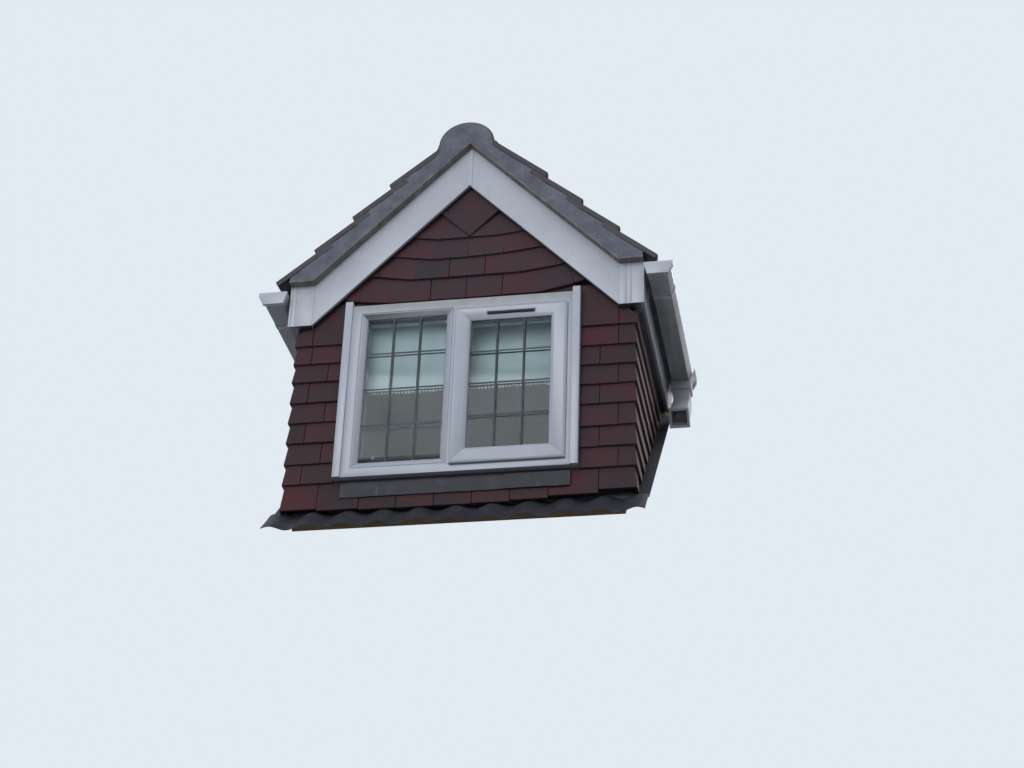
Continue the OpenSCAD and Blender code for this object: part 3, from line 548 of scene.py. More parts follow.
# the gutter's greyer base and heavy grime are partly real dirt and partly painted shade
gutter_plastic = white_plastic("white_upvc_gutter", "#a8a8aa", "#6a6562", 0.75, 0.38)
outlet_plastic = white_plastic("white_upvc_outlet", "#bcbdc0", "#85827f", 0.5, 0.38)
# the fascia's grey base is painted shade from the gutter; its grime is dirt
fascia_plastic = white_plastic("fascia_painted_shade_and_dirt", "#96979c", "#6a686a", 0.5, 0.4)
# the soffit's near-black base is painted shade; its grime is dirt
shaded_soffit_plastic = white_plastic("soffit_painted_shade_and_grime", "#3a393e", "#252428", 0.6, 0.45)

# %% [markdown]
# ### Sheet lead, glass, cloth, plaster and timber
#
# New lead is bright, but it soon turns blue-grey with paler carbonate runs. The
# glass is nearly clear; it is darker at its foot, which is painted shade, and a
# little clearer over the blind, which is painted light. The dim room shows behind
# it, and above, the pale and cool grey cloth of the blind.

# %% Lead
lead_finish, tree, shader, place = start_material("sheet_lead", Roughness=0.6, Metallic=0.2)
patina = [(0.3, "#1f1f24"), (0.5, "#26262d"), (0.7, "#32333b")]
body = patchy(tree, (place, 90, 5, 0.65), patina)
downwards = add_node(tree, "Mapping", {"Vector": place, "Scale": (1, 1, 0.2)}).outputs[0]
body = stained(tree, body, "#494b51", (downwards, 26, 4, 0.6), 0.6, 0.8)
surface(tree, shader, body, (place, 38, 3, 0.5), 1.2, 0.6)

# %% Glass
glass_finish, tree, shader, place = start_material(
    "tinted_glass", Roughness=0.02, IOR=1.15, Transmission_Weight=1.0
)
# the tint is dark at the glass's foot, painted shade, and a little clearer from 0.66 m up, over the blind,
# painted light
glass_tint_painted_shade_and_light = add_node(tree, "ValToRGB", {"Fac": share_of_height(tree, place, 0.26, 0.66)}, [
    (0.1, "#454a4e"), (0.135, "#eef2f3"), (0.97, "#eef2f3"), (1.0, "#f6fafa"),
])
tree.links.new(glass_tint_painted_shade_and_light.outputs["Color"], shader.inputs["Base Color"])

# %% Cloth of the blind
blind_finish, tree, shader, place = start_material(
    "woven_blind", Roughness=0.9, Sheen_Weight=0.15, Specular_IOR_Level=0.2
)
weft = add_node(
    tree, "TexWave", {"Vector": place, "Scale": 1000 / 9, "Distortion": 0.4},
    wave_type="BANDS", bands_direction="Z",
).outputs["Fac"]
body = add_node(tree, "ValToRGB", {"Fac": weft}, [(0.2, "#c3cdce"), (0.8, "#d2dbdc")])
surface(tree, shader, body.outputs["Color"], weft, 0.3, 0.5)

# %% Plaster
plaster_finish, tree, shader, place = start_material(
    "painted_plaster", Roughness=0.85, Specular_IOR_Level=0.3
)
body = patchy(tree, (place, 300, 4, 0.5), [(0.3, "#a09f9a"), (0.7, "#aeada8")])
surface(tree, shader, body, (place, 12, 3, 0.6), 0.2, 0.5)

# %% [markdown]
# ### Timber, strand board and small parts
#
# The carcass is sawn softwood, sheathed with boards of pressed wood strands.
# Small parts need only two close colours in patches of a stated size.

# %% Timber
def softwood(name, along, mirrored=False):
    """Makes sawn softwood whose grain runs along a direction.

    The pattern is squeezed along the grain, so that it comes out drawn long.
    """
    material, tree, shader, place = start_material(name, Roughness=0.8, Specular_IOR_Level=0.3)
    if mirrored:
        place = add_node(tree, "VectorMath", {0: place}, operation="ABSOLUTE").outputs[0]
    along = Vector(along).normalized()
    length = add_node(tree, "VectorMath", {0: place, 1: along}, operation="DOT_PRODUCT")
    squeeze = add_node(
        tree, "VectorMath", {0: along * -0.93, "Scale": length.outputs["Value"]}, operation="SCALE"
    ).outputs[0]
    drawn = add_node(tree, "VectorMath", {0: place, 1: squeeze}, operation="ADD").outputs[0]
    grain = add_node(tree, "TexNoise", blotches(drawn, 11, 6, 0.65)).outputs["Fac"]
    rings = [(0.3, "#776048"), (0.5, "#94795a"), (0.7, "#ab9070")]
    body = add_node(tree, "ValToRGB", {"Fac": grain}, rings).outputs["Color"]
    surface(tree, shader, body, grain, 0.5, 0.6)
    return material


beam_wood = softwood("softwood_across", (1, 0, 0))
ridge_wood = softwood("softwood_inward", (0, 1, 0))
rafter_wood = softwood("softwood_rafter", (1, 0, -SLOPE), mirrored=True)
sole_wood = softwood("softwood_sole", (0, 1, 1))

# %% Strand board
sheathing_finish, tree, shader, place = start_material(
    "strand_board", Roughness=0.75, Specular_IOR_Level=0.3
)
strands = add_node(tree, "TexVoronoi", {"Vector": place, "Scale": 1000 / 34}).outputs["Color"]
strand = add_node(tree, "SeparateColor", {"Color": strands}).outputs[0]
chips = [(0.1, "#8b6d45"), (0.5, "#a5855a"), (0.9, "#bf9f72")]
body = add_node(tree, "ValToRGB", {"Fac": strand}, chips).outputs["Color"]
surface(tree, shader, body, strand, 0.3, 0.5)

# %% Small parts
def plain_finish(name, dark, light, size_mm, roughness, metallic=0.0):
    """Makes a finish of two close colours in patches of size_mm."""
    material, tree, shader, place = start_material(name, Roughness=roughness, Metallic=metallic)
    dense = add_node(tree, "TexNoise", blotches(place, size_mm, 3, 0.6)).outputs["Fac"]
    body = add_node(tree, "ValToRGB", {"Fac": dense}, [(0.3, dark), (0.7, light)])
    surface(tree, shader, body.outputs["Color"], dense, 0.2, 0.4)
    return material


cotton_finish = plain_finish("cotton_fringe", "#e2e6e6", "#f0f2f2", 12, 0.9)
felt_finish = plain_finish("bitumen_felt", "#1b1a1c", "#262527", 15, 0.9)
# the vent mesh's dark colour is painted shade in the slot under the hood
vent_slot_shade_finish = plain_finish("vent_mesh_painted_shade", "#26272a", "#3a3b3f", 6, 0.8)
spacer_finish = plain_finish("anodised_spacer", "#6d7074", "#7d8084", 30, 0.45, 0.6)
came_finish = plain_finish("lead_strip", "#2c3038", "#3b3f48", 18, 0.5, 0.3)

# %% [markdown]
# ## Finishes on the CAD pieces
#
# Pieces whose CAD shape is right keep it and only change their material. Timber
# takes the finish whose grain runs along the piece.

# %% Dress the CAD nodes
CAD_FINISHES = {
    "timber": ridge_wood,
    "white_upvc": window_plastic,
    "roof_tile": roof_tile_finish,
    "hung_tile": hung_tile_finish,
    "lead": lead_finish,
    "mortar": mortar_finish,
    "undercloak": undercloak_finish,
    "plaster": plaster_finish,
    "stud_wall": sheathing_finish,
    "glass": glass_finish,
    "blind": blind_finish,
    "fascia": board_plastic,
}
GRAIN = {
    "rafters": rafter_wood, "side_sole_timbers": sole_wood, "front_sole_timber": beam_wood,
    "opening_header": beam_wood, "valley_boards": beam_wood, "ceiling_ties": beam_wood,
}
for name, obj in nodes.items():
    finish = GRAIN.get(name, CAD_FINISHES[slot_of[name]])
    # the soffits take the dark finish, which is painted shade
    if "soffit" in name:
        finish = shaded_soffit_plastic
    if obj.data.materials:
        for index in range(len(obj.data.materials)):
            obj.data.materials[index] = finish
    else:
        obj.data.materials.append(finish)
print("dressed", len(nodes), "nodes")

# %% [markdown]
# ## Boards, gutters and window bars
#
# Extruded plastic never has a knife edge. Each of these pieces is a copy of its
# CAD node with every edge rounded by about a millimetre, enough to catch the
# light. The sash and the glazing bead are welded from four mitred bars, so they
# are cut at the mitres first, and the rounding leaves a fine joint there.

# %% Soften the extrusions
for node, name, finish, bevel in (
    ("bargeboard_left", "left_bargeboard_face", board_plastic, 1.5),
    ("bargeboard_right", "right_bargeboard_face", board_plastic, 1.5),
    ("fascias", "eaves_fascias", fascia_plastic, 1.5),
    ("window_frame", "outer_window_frame", frame_plastic, 1.2),
    ("window_trims", "window_side_trims", window_plastic, 1.5),
    ("window_board", "inner_window_board", window_plastic, 3.0),
    ("cheek_soakers", "side_soakers", lead_finish, 0.5),
):
    soften_node(node, name, finish, bevel)


def left_grooves(co):
    """Moves the grooves of the left box end to its outer edge."""
    inside = -co.x - BOX_INNER
    if 25 < inside < 65 and co.y < 3.5 - BARGE_Y:
        return co - Vector((EAVES_HALF - BOX_INNER - 66, 0, 0))
    return co


# the underside of the box ends takes the dark soffit finish, painted shade
soften_node(
    "box_ends", "grooved_box_ends", board_plastic, 0.8, reshape=left_grooves, under=shaded_soffit_plastic
)

# %% [markdown]
# The left gutter has sunk at its front end, by 17 mm. On both sides the outer
# wall of a trough stands nearly upright, and its stop end is a little larger
# than the trough. So these copies are reshaped as they are made.

# %% Gutters
gutter_low, gutter_high = node_box("gutters")
RIM_X = gutter_high.x - 17
SAG, DRAWN_IN, RIM_DROP = 17.0, 12, 13


def sunk(co):
    """Lowers the left side towards the front."""
    near = (gutter_high.y - co.y) / (gutter_high.y - gutter_low.y)
    return co - Vector((0, 0, SAG * near)) if co.x < 0 else co


def trough(co):
    """Draws the outer wall in at its top, so that it stands nearly upright."""
    co = co.copy()
    if abs(co.x) > RIM_X:
        co.x -= math.copysign(DRAWN_IN, co.x)
    return sunk(co)


def stop_end(co):
    """Widens the foot of a stop end and deepens its upright rim."""
    co = co.copy()
    side = math.copysign(1, co.x)
    if co.z < gutter_low.z + 6:
        co.x += side * (6 if abs(co.x) > (gutter_high.x + 830) / 2 else -6)
    elif abs(co.x) > RIM_X and co.z < gutter_high.z - 5:
        co.z -= RIM_DROP
    return sunk(co)


for node, name, finish, bevel, reshape in (
    ("gutters", "square_gutters", gutter_plastic, 0.5, trough),
    ("gutter_stop_ends", "gutter_end_caps", board_plastic, 0.8, stop_end),
    ("gutter_straps", "gutter_unions", board_plastic, 0.8, trough),
    ("downpipes", "outlets_and_shoes", outlet_plastic, 0.8, sunk),
):
    soften_node(node, name, finish, bevel, reshape=reshape)

# %% [markdown]
# The outer frame and the sash hold their glass only a little behind their
# faces, so the bars are made flatter than they are deep. FLUSH and SASH_FLUSH
# say how much of the depth stays.

# %% Bead and sash
FLUSH, SASH_FLUSH = 0.4, 0.5
sash_front = node_box("window_sash")[0].y


def flatter_bead(co):
    return Vector((co.x, FRAME_FRONT + (co.y - FRAME_FRONT) * FLUSH, co.z))


def flatter_sash(co):
    co = co.copy()
    if co.y < sash_front + 30:
        co.y = sash_front + (co.y - sash_front) * SASH_FLUSH
    return co


mitre_node("window_sash", "opening_sash_bars", window_plastic, flatter_sash)
mitre_node("glazing_bead", "mitred_glazing_bead", frame_plastic, flatter_bead)

# %% [markdown]
# The two bargeboards meet at the ridge. A flat strip of the same plastic covers
# the joint between them.

# %% Joint cover at the apex
COVER_HALF = 11.0
cover = bmesh.new()
apex_low = roof_z(0, -BARGE_D) + SLOPE * COVER_HALF
block(cover, (-COVER_HALF, -BARGE_Y - 3, apex_low - 14), (COVER_HALF, -BARGE_Y, APEX - 13), 1.2, 2)
finish_piece(cover, "bargeboard_joint_cover", [board_plastic])

# %% [markdown]
# ## The trickle vent
#
# A trickle vent lets air through the head of the sash. Outside, a plastic hood
# keeps the rain off, and below the hood a fine mesh shows as a dark line; its
# dark colour is painted shade in the slot.

# %% Trickle vent
MESH_H, BAR_W, BAR_STEP = 9, 1.6, 5
vent_low, vent_high = node_box("trickle_vent")
vent = bmesh.new()
hood_z = vent_low.z + MESH_H
block(vent, (vent_low.x, vent_low.y, hood_z), (vent_high.x, vent_high.y, vent_high.z), 3.0, 3)
finish_piece(vent, "vent_hood", [window_plastic], "trickle_vent")
mesh_strip = bmesh.new()
block(mesh_strip, (vent_low.x + 3, vent_low.y + 3, vent_low.z + 1), (vent_high.x - 3, vent_high.y, hood_z))
bar = vent_low.x + 6
while bar < vent_high.x - 6:
    block(mesh_strip, (bar, vent_low.y + 2, vent_low.z + 1), (bar + BAR_W, vent_low.y + 4, hood_z))
    bar += BAR_STEP
# the mesh's dark finish is painted shade
finish_piece(mesh_strip, "vent_mesh", [vent_slot_shade_finish])

# %% [markdown]
# ## Sealed units
#
# A sealed unit is two panes with a spacer between them. Leaded lights are made
# by sticking strips of lead on the outer and the inner face. Seen at a slant
# the two sets don't cover each other, so each bar looks doubled.

# %% One sealed unit
PANE_T, SPACER_W, CAME_W, CAME_T, GLASS_GRIP = 4.0, 12.0, 8.0, 1.2, 8.0


def spread(low, high, count):
    """Places that divide the stretch from low to high into count equal parts."""
    return [low + (high - low) * k / count for k in range(1, count)]


def glaze(node, name, forward):
    """Builds a sealed unit with leading three panes wide and four high."""
    low, high = node_box(node)
    low.y -= forward
    high.y -= forward
    panes = bmesh.new()
    block(panes, low, (high.x, low.y + PANE_T, high.z), 0.5)
    block(panes, (low.x, high.y - PANE_T, low.z), high, 0.5)
    finish_piece(panes, name + "_panes", [glass_finish], node)
    spacer = bmesh.new()
    y0, y1 = low.y + PANE_T + 0.2, high.y - PANE_T - 0.2
    in_x0, in_x1, in_z0, in_z1 = (
        low.x + SPACER_W, high.x - SPACER_W, low.z + SPACER_W, high.z - SPACER_W
    )
    for x0, x1, z0, z1 in (
        (low.x, high.x, low.z, in_z0), (low.x, high.x, in_z1, high.z),
        (low.x, in_x0, in_z0, in_z1), (in_x1, high.x, in_z0, in_z1),
    ):
        block(spacer, (x0 + 0.5, y0, z0 + 0.5), (x1 - 0.5, y1, z1 - 0.5), 0.5)
    finish_piece(spacer, name + "_spacer", [spacer_finish])
    leading = bmesh.new()
    half = CAME_W / 2
    grip = Vector((GLASS_GRIP, 0, GLASS_GRIP))
    seen_low, seen_high = low + grip, high - grip
    for y, lift in ((low.y - CAME_T, 0.15), (high.y, 0.0)):
        for x in spread(seen_low.x, seen_high.x, 3):
            block(leading, (x - half, y - lift, seen_low.z + 1),
                  (x + half, y + CAME_T - lift, seen_high.z - 1), 0.4)
        for z in spread(seen_low.z, seen_high.z, 4):
            block(leading, (seen_low.x + 1, y, z - half), (seen_high.x - 1, y + CAME_T, z + half), 0.4)
    finish_piece(leading, name + "_leading", [came_finish])


# %% Glaze the two lights
fixed_front, sash_glass_front = node_box("fixed_glass")[0].y, node_box("sash_glass")[0].y
glaze("fixed_glass", "fixed_light", (fixed_front - FRAME_FRONT) * (1 - FLUSH))
glaze("sash_glass", "sash_light", (sash_glass_front - sash_front) * (1 - SASH_FLUSH))

# %% [markdown]
# ## The blind
#
# A blind of pale cloth hangs behind the upper half of the window, with a short
# fringe at its foot. The cloth hangs nearly flat, with soft waves from its own
# weight, so it is a grid moved by a few millimetres and then given a thickness.

# %% Blind
CLOTH_T, FRINGE, TUFT_W, TUFT_STEP = 0.8, 20.0, 9, 16
blind_low, blind_high = node_box("blind")
rail = bmesh.new()
block(rail, (blind_low.x, blind_low.y, FRAME_TOP - 40), (blind_high.x, blind_high.y, FRAME_TOP), 4, 3)
finish_piece(rail, "blind_head_rail", [window_plastic], "blind")
cloth_l, cloth_r = blind_low.x + 12, blind_high.x - 12
cloth_top, cloth_low = FRAME_TOP - 38, blind_low.z + FRINGE - 9
cloth_y = blind_low.y + 18


def hang_cloth(u, v):
    x = cloth_l + (cloth_r - cloth_l) * u
    z = cloth_low + (cloth_top - cloth_low) * v
    wave_in = 2.2 * math.sin(x / 62) * (1 - v) + 1.2 * noise.noise(Vector((x / 120, z / 160, 3)))
    return x, cloth_y + wave_in, z


cloth = bmesh.new()
sheet_grid(cloth, 90, 24, hang_cloth, CLOTH_T)
cloth = finish_piece(cloth, "blind_cloth", [blind_finish], smooth=40)
fringe = bmesh.new()
x = cloth_l + 3
while x < cloth_r - TUFT_W - 1:
    drop = FRINGE + rng.uniform(-2.5, 2.5)
    y = hang_cloth((x - cloth_l) / (cloth_r - cloth_l), 0)[1]
    block(fringe, (x, y - 1.6, cloth_low - drop), (x + TUFT_W, y + 1.2, cloth_low + 1), 1.0)
    x += TUFT_STEP
fringe = finish_piece(fringe, "blind_fringe", [cotton_finish])

# %% [markdown]
# ## Tile hanging
#
# Plain tiles 165 mm wide hang in courses with about 100 mm showing, and each
# course breaks the joints of the one below. Every tile leans out at its foot,
# because it lies on the heads of the two below it. One tile is a box with
# softened edges that is turned a little and pushed in or out by up to a
# millimetre, as on any real wall.

# %% One hung tile
PLAIN_W, PLAIN_T, JOINT, HALF_LEG = 165.0, 14.0, 2.5, 82.0
PLAIN_LENGTH, GABLE_LENGTH, TALL = 150.0, 185.0, 150
PITCH_W = PLAIN_W + JOINT
SLIVER, CORNER_EDGE = 50.0, CORNER - 1.5


def span(side, near, far):
    """The stretch from near to far on one side, as its low and its high end."""
    return sorted((side * near, side * far))


def about(point, turn):
    """The same turn, but about a point."""
    return Matrix.Translation(point) @ turn @ Matrix.Translation(-point)


def hung_tile(
    bm, x0, x1, z, gauge=HUNG_GAUGE, length=PLAIN_LENGTH, tilt=0.0, place=None, corner=0, inset=0.0
):
    """Hangs a tile from x0 to x1 with its nose at z, then moves it by place.

    At a corner, the left end for -1 and the right end for 1, the tile narrows
    upwards as much as its neighbour round the corner leans.
    """
    before = set(bm.faces)
    block(bm, (x0, 0, 0), (x1, PLAIN_T, length), 1.6, 2)
    faces, verts = added_since(bm, before)
    for vert in verts:
        if corner and (vert.co.x - (x0 + x1) / 2) * corner > 0:
            vert.co.x -= corner * HUNG_STEP * vert.co.z / gauge
    middle = Vector(((x0 + x1) / 2, 0, 0))
    lean = math.atan(HUNG_STEP / gauge) + math.radians(rng.uniform(-0.35, 0.35))
    crooked = Matrix.Rotation(math.radians(rng.uniform(-0.3, 0.3)), 4, "Y")
    y = inset - HUNG_OUT - rng.uniform(-0.6, 0.9)
    spot = Matrix.Translation((0, y, z + rng.uniform(-1.0, 1.0)))
    swing = Matrix.Rotation(-math.radians(tilt), 4, "Y")
    pivot = Vector((x0 if tilt > 0 else x1, 0, 0))
    whole = spot @ about(pivot, swing) @ about(middle, Matrix.Rotation(-lean, 4, "X") @ crooked)
    bmesh.ops.transform(bm, matrix=(place or Matrix.Identity(4)) @ whole, verts=verts)
    set_tone(bm, faces, rng.gauss(0.45, 0.19))


# %% [markdown]
# A course runs between two ends. Its joints fall on a grid of one tile and a
# joint. A tiler avoids slivers, so a joint that would leave one is left out.

# %% One course
def hang_course(bm, start, end, z, joint, nose=None, **how):
    """Hangs tiles from start to end with joints at joint and every pitch from it."""
    first = math.ceil((start - joint) / PITCH_W)
    last = math.floor((end - joint) / PITCH_W)
    joints = [joint + PITCH_W * k for k in range(first, last + 1)]
    joints = [x for x in joints if start + SLIVER < x < end - SLIVER]
    edges = [start - JOINT / 2, *joints, end + JOINT / 2]
    for left, right in zip(edges, edges[1:]):
        foot = nose((left + right) / 2) if nose else z
        hung_tile(bm, left + JOINT / 2, right - JOINT / 2, foot, **how)


# %% [markdown]
# The lowest noses follow the rolls of the main roof, which rise towards the
# right-hand corner, so that course climbs there. At the corners the front and
# the cheek share angle tiles: one leg is a whole tile long and the other a
# half, turn and turn about.

# %% Front wall courses
HUNG_NOSES = {
    -1: (HUNG_SECOND - 2, 302, 409, 513, 617, 724, 820, 917, 1130),
    1: (HUNG_SECOND, 305, 409, 520, 621, 721, 821, 925, 1135),
}
FOOT_JOINT, FOOT_GAUGE = 69.0, 125
front_tiles = toned_bmesh()


def foot_nose(x):
    """Height of the lowest noses, which climb over the rolls on the right."""
    return 60 + 40 * max(0.0, (x - 150) / 600) ** 1.6 + 18 * max(0.0, (-x - 450) / 340)


def courses(side):
    """Yields each course of a side: its number, nose, gauge and corner leg's length.

    The last course is one tall row up to the eaves.
    """
    heights = (foot_nose(side * 700), *HUNG_NOSES[side])
    for k, (z, above) in enumerate(zip(heights, heights[1:])):
        if above - z > TALL:
            yield k, z, above - z, BOX_LOW - z - 1
        else:
            yield k, z, min(above - z, FOOT_GAUGE), PLAIN_LENGTH


# %% Hang the front wall
for side in (-1, 1):
    for k, z, gauge, leg_length in courses(side):
        leg = HALF_LEG if k % 2 else PLAIN_W
        if gauge > TALL:
            leg = CORNER_EDGE - BOX_INNER + 3
        inner = CORNER_EDGE - leg - JOINT / 2
        ends = span(side, CORNER_EDGE, CORNER_EDGE - leg)
        hung_tile(front_tiles, *ends, z, gauge, leg_length, corner=side)
        if k:
            ends = (side * (inner - 1), TRIM_L - 2 if side < 0 else TRIM_R + 2)
            length = max(PLAIN_LENGTH, gauge + 12)
            hang_course(front_tiles, *sorted(ends), z, side * inner, gauge=gauge, length=length)
inner = CORNER_EDGE - PLAIN_W - JOINT / 2
hang_course(front_tiles, -inner + 1, inner - 1, 0, FOOT_JOINT, foot_nose, gauge=FOOT_GAUGE)
hang_course(
    front_tiles, FRAME_L + 3, FRAME_R - 3, FRAME_TOP + 4, FOOT_JOINT + 40, length=110.0, inset=14.0
)

# %% [markdown]
# In the gable the courses follow a Winchester cut: towards the verge the tiles
# are tilted up, so that they meet the bargeboard more squarely. Each course is
# told where its flat part ends on either side and how much the next tiles
# climb. The top is filled by one large tile set on the diamond.

# %% Gable courses
UNDER_SOFFIT = roof_z(0, -SOFFIT_H - SOFFIT_T)


def cut_to_soffit(bm):
    """Cuts away what rises past the soffit of the verge."""
    for side in (-1, 1):
        cut(bm, (0, 0, UNDER_SOFFIT), (side * SLOPE, 0, 1))


def climb(bm, start, z, side, tilts):
    """Hangs tilted tiles outwards from start, each from the end of the one before."""
    x = start
    for tilt in tilts:
        if x > (UNDER_SOFFIT - z) / SLOPE:
            break
        ends = span(side, x + JOINT / 2, x + JOINT / 2 + PLAIN_W)
        hung_tile(bm, *ends, z, gauge=GABLE_GAUGE, length=GABLE_LENGTH, tilt=side * tilt)
        x += PITCH_W * math.cos(math.radians(tilt))
        z += PITCH_W * math.sin(math.radians(tilt))


GABLE_RISE = 0.008
GABLE_ROWS = (
    # height, a joint, and for left and right: where the climb starts, its tilts
    (GABLE_FOOT, 0.0, 335, (6.5, 12), 335, (12, 15)),
    (GABLE_FOOT + 120, -84.0, 251, (10, 13), 250, (7, 14)),
    (GABLE_FOOT + 225, 0.0, 167, (9.5, 13), 1, (2.4, 7, 14)),
    (GABLE_FOOT + 335, 0.0, 132, (9, 13), 140, (7, 13)),
)
for z, joint, left, left_tilts, right, right_tilts in GABLE_ROWS:
    hang_course(
        front_tiles, -left + 1, right - 1, z, joint, lambda x, z=z: z + GABLE_RISE * x,
        gauge=GABLE_GAUGE, length=GABLE_LENGTH,
    )
    climb(front_tiles, left, z - GABLE_RISE * left, -1, left_tilts)
    climb(front_tiles, right, z + GABLE_RISE * right, 1, right_tilts)
DIAMOND_W, diamond_foot = 212.0, Matrix.Translation((6.0, -7.0, 1462.0))
diamond = diamond_foot @ Matrix.Rotation(math.radians(-45), 4, "Y")
hung_tile(front_tiles, 0, DIAMOND_W, 0, gauge=400.0, length=DIAMOND_W, place=diamond)
cut_to_soffit(front_tiles)

# %% [markdown]
# Behind the tiles are battens and roofing felt on the sheathed wall. They show
# only as a dark line in an open joint, so plain felt fills the depth there.

# %% Felt behind the front tiles
FELT_OUT = 22.0
felt_half = WALL_HALF - 8
beside = ((0, 0, FRAME_Z - 24), (0, 0, -1)), ((0, 0, FRAME_TOP + 2), (0, 0, 1))
felt = bmesh.new()
for planes in (
    [((0, 0, FRAME_Z - 24), (0, 0, 1))],
    [((0, 0, FRAME_TOP + 2), (0, 0, -1))],
    [((TRIM_L - 1, 0, 0), (1, 0, 0)), *beside],
    [((TRIM_R + 1, 0, 0), (-1, 0, 0)), *beside],
):
    part = bmesh.new()
    block(part, (-felt_half, -FELT_OUT, 95), (felt_half, -0.5, APEX))
    cut_to_soffit(part)
    for point, normal in planes:
        cut(part, point, normal)
    join(felt, part)
finish_piece(felt, "felt_behind_front_tiles", [felt_finish])
finish_piece(front_tiles, "front_hung_tiles", [hung_tile_finish], "front_tile_hanging")

# %% [markdown]
# The cheeks are hung in the same courses. A tile is made as on the front and
# then turned to face sideways. The foot of each cheek follows the main roof.

# %% Cheek courses
cheek_tiles = toned_bmesh()
FACE_RIGHT = Matrix(((0, -1, 0, WALL_HALF), (1, 0, 0, 0), (0, 0, 1, 0), (0, 0, 0, 1)))
FACE_LEFT = Matrix(((0, 1, 0, -WALL_HALF), (-1, 0, 0, 0), (0, 0, 1, 0), (0, 0, 0, 1)))
corner_y = -HUNG_OUT + 13.0
for place, side in ((FACE_RIGHT, 1), (FACE_LEFT, -1)):
    for k, z, gauge, length in courses(side):
        joint, far_end = corner_y + (PLAIN_W if k % 2 else HALF_LEG), z + 90
        ends = span(side, corner_y, joint - JOINT / 2)
        hung_tile(cheek_tiles, *ends, z, gauge, length, place=place, corner=-side)
        if far_end > joint + SLIVER:
            ends = span(side, joint + JOINT / 2, far_end)
            hang_course(
                cheek_tiles, *ends, z, side * joint, gauge=gauge, length=length, place=place
            )
cut_n = HUNG_CUT_RISE / math.cos(MAIN_PITCH)
cut(cheek_tiles, (0, 0, cut_n), (0, 1, -1))
finish_piece(cheek_tiles, "cheek_hung_tiles", [hung_tile_finish], "cheek_tiles")

# %% [markdown]
# ## Roof tiles
#
# The roof is laid with interlocking concrete tiles, two rolls wide. Their rolls
# run down the slope, and each course rests on the one below, so it lies a
# little flatter than the roof. A tile is a grid shaped by the wave of its
# rolls, given its thickness, with its nose rounded.

# %% Rolls and courses
def roll(y):
    """Height of a roll over the trough at place y."""
    return WAVE_D * (1 + math.cos(math.tau * (y + VERGE_Y - 12) / WAVE)) / 2


NOSE_REST, EAVES_DRIP = 32.4, 7
TILE_NOSE_H = BATTEN_H + NOSE_REST
TILE_PITCH = ROOF_PITCH - math.atan(TILE_STEP / TILE_GAUGE)
CREST_H = TILE_NOSE_H + TILE_T + WAVE_D
EAVES_S = (EAVES_NOSE + EAVES_DRIP - CREST_H * math.sin(ROOF_PITCH)) / math.cos(ROOF_PITCH)
RIDGE_X, RIDGE_HALF, UNDER_RIDGE = -17.0, 133.0, 46.0
NOSE_LIFT = {-1: (5, 0, 0, 0), 1: (7, 1, -2, -4)}


def nose_s(k):
    return EAVES_S - k * TILE_GAUGE


# %% One roof tile
def lay_tile(bm, k, y0, y1, side):
    """Lays the tile of course k that covers the roof from y0 to y1."""
    nose = on_roof(nose_s(k), TILE_NOSE_H + NOSE_LIFT[side][k])
    head = RIDGE_HALF + side * RIDGE_X - UNDER_RIDGE
    run = TILE_LEN if k < COURSES - 1 else (nose[0] - head) / math.cos(TILE_PITCH)
    slip, lift, swing = rng.uniform(-2, 2), rng.uniform(-0.8, 0.8), rng.uniform(-0.15, 0.15)

    def place(u, v):
        y = y0 + (y1 - y0) * u
        lip = 2.5 * max(0.0, 1 - (y1 - y) / 12)
        return -run * v, y, roll(y) + TILE_T + lip

    before = set(bm.faces)
    sheet_grid(bm, 20, 3, place)
    faces, verts = added_since(bm, before)
    bmesh.ops.recalc_face_normals(bm, faces=faces)
    if sum(face.normal.z for face in faces) < 0:
        bmesh.ops.reverse_faces(bm, faces=faces)
    bmesh.ops.solidify(bm, geom=faces, thickness=TILE_T)
    faces, verts = added_since(bm, before)
    rim = [
        edge for edge in {edge for face in faces for edge in face.edges}
        if edge.is_manifold and edge.calc_face_angle(0) > math.radians(50)
        and all(vert.co.x > -1 for vert in edge.verts)
    ]
    bevel_edges(bm, rim, 4, 2)
    faces, verts = added_since(bm, before)
    turned = (
        Matrix.Translation((nose[0], 0, nose[1])) @ Matrix.Rotation(TILE_PITCH, 4, "Y")
        @ Matrix.Translation((slip, 0, lift)) @ Matrix.Rotation(math.radians(swing), 4, "Z")
    )
    if side < 0:
        turned = Matrix.Diagonal((-1, 1, 1, 1)) @ turned
    bmesh.ops.transform(bm, matrix=turned, verts=verts)
    set_tone(bm, faces, rng.gauss(0.45, 0.25))


# %% [markdown]
# Four courses of up to seven tiles cover each side. Where the roof runs into the
# main slope the tiles are cut to the valley.

# %% Lay the roof
TILE_W = 2 * WAVE
tiles_end = node_box("roof_tiles_right")[1].y
valley_z = TILE_CUT_RISE / math.cos(MAIN_PITCH)
for side, node in ((-1, "roof_tiles_left"), (1, "roof_tiles_right")):
    slope = toned_bmesh()
    for k in range(COURSES):
        reach = on_roof(nose_s(k) - TILE_LEN, 0)[1] - valley_z + 120
        y = -VERGE_Y
        while y < min(tiles_end, reach):
            lay_tile(slope, k, y, y + TILE_W - 3, side)
            y += TILE_W
    cut(slope, (0, 0, valley_z), (0, 1, -1))
    bmesh.ops.recalc_face_normals(slope, faces=slope.faces)
    finish_piece(slope, node + "_laid", [roof_tile_finish], node, smooth=40)

# %% [markdown]
# ## The ridge
#
# Half-round ridge tiles are bedded in mortar along both edges and pointed where
# they meet. Each one is an edge spun round the ridge line and given its
# thickness. The bedding follows the rolls of the tiles below.

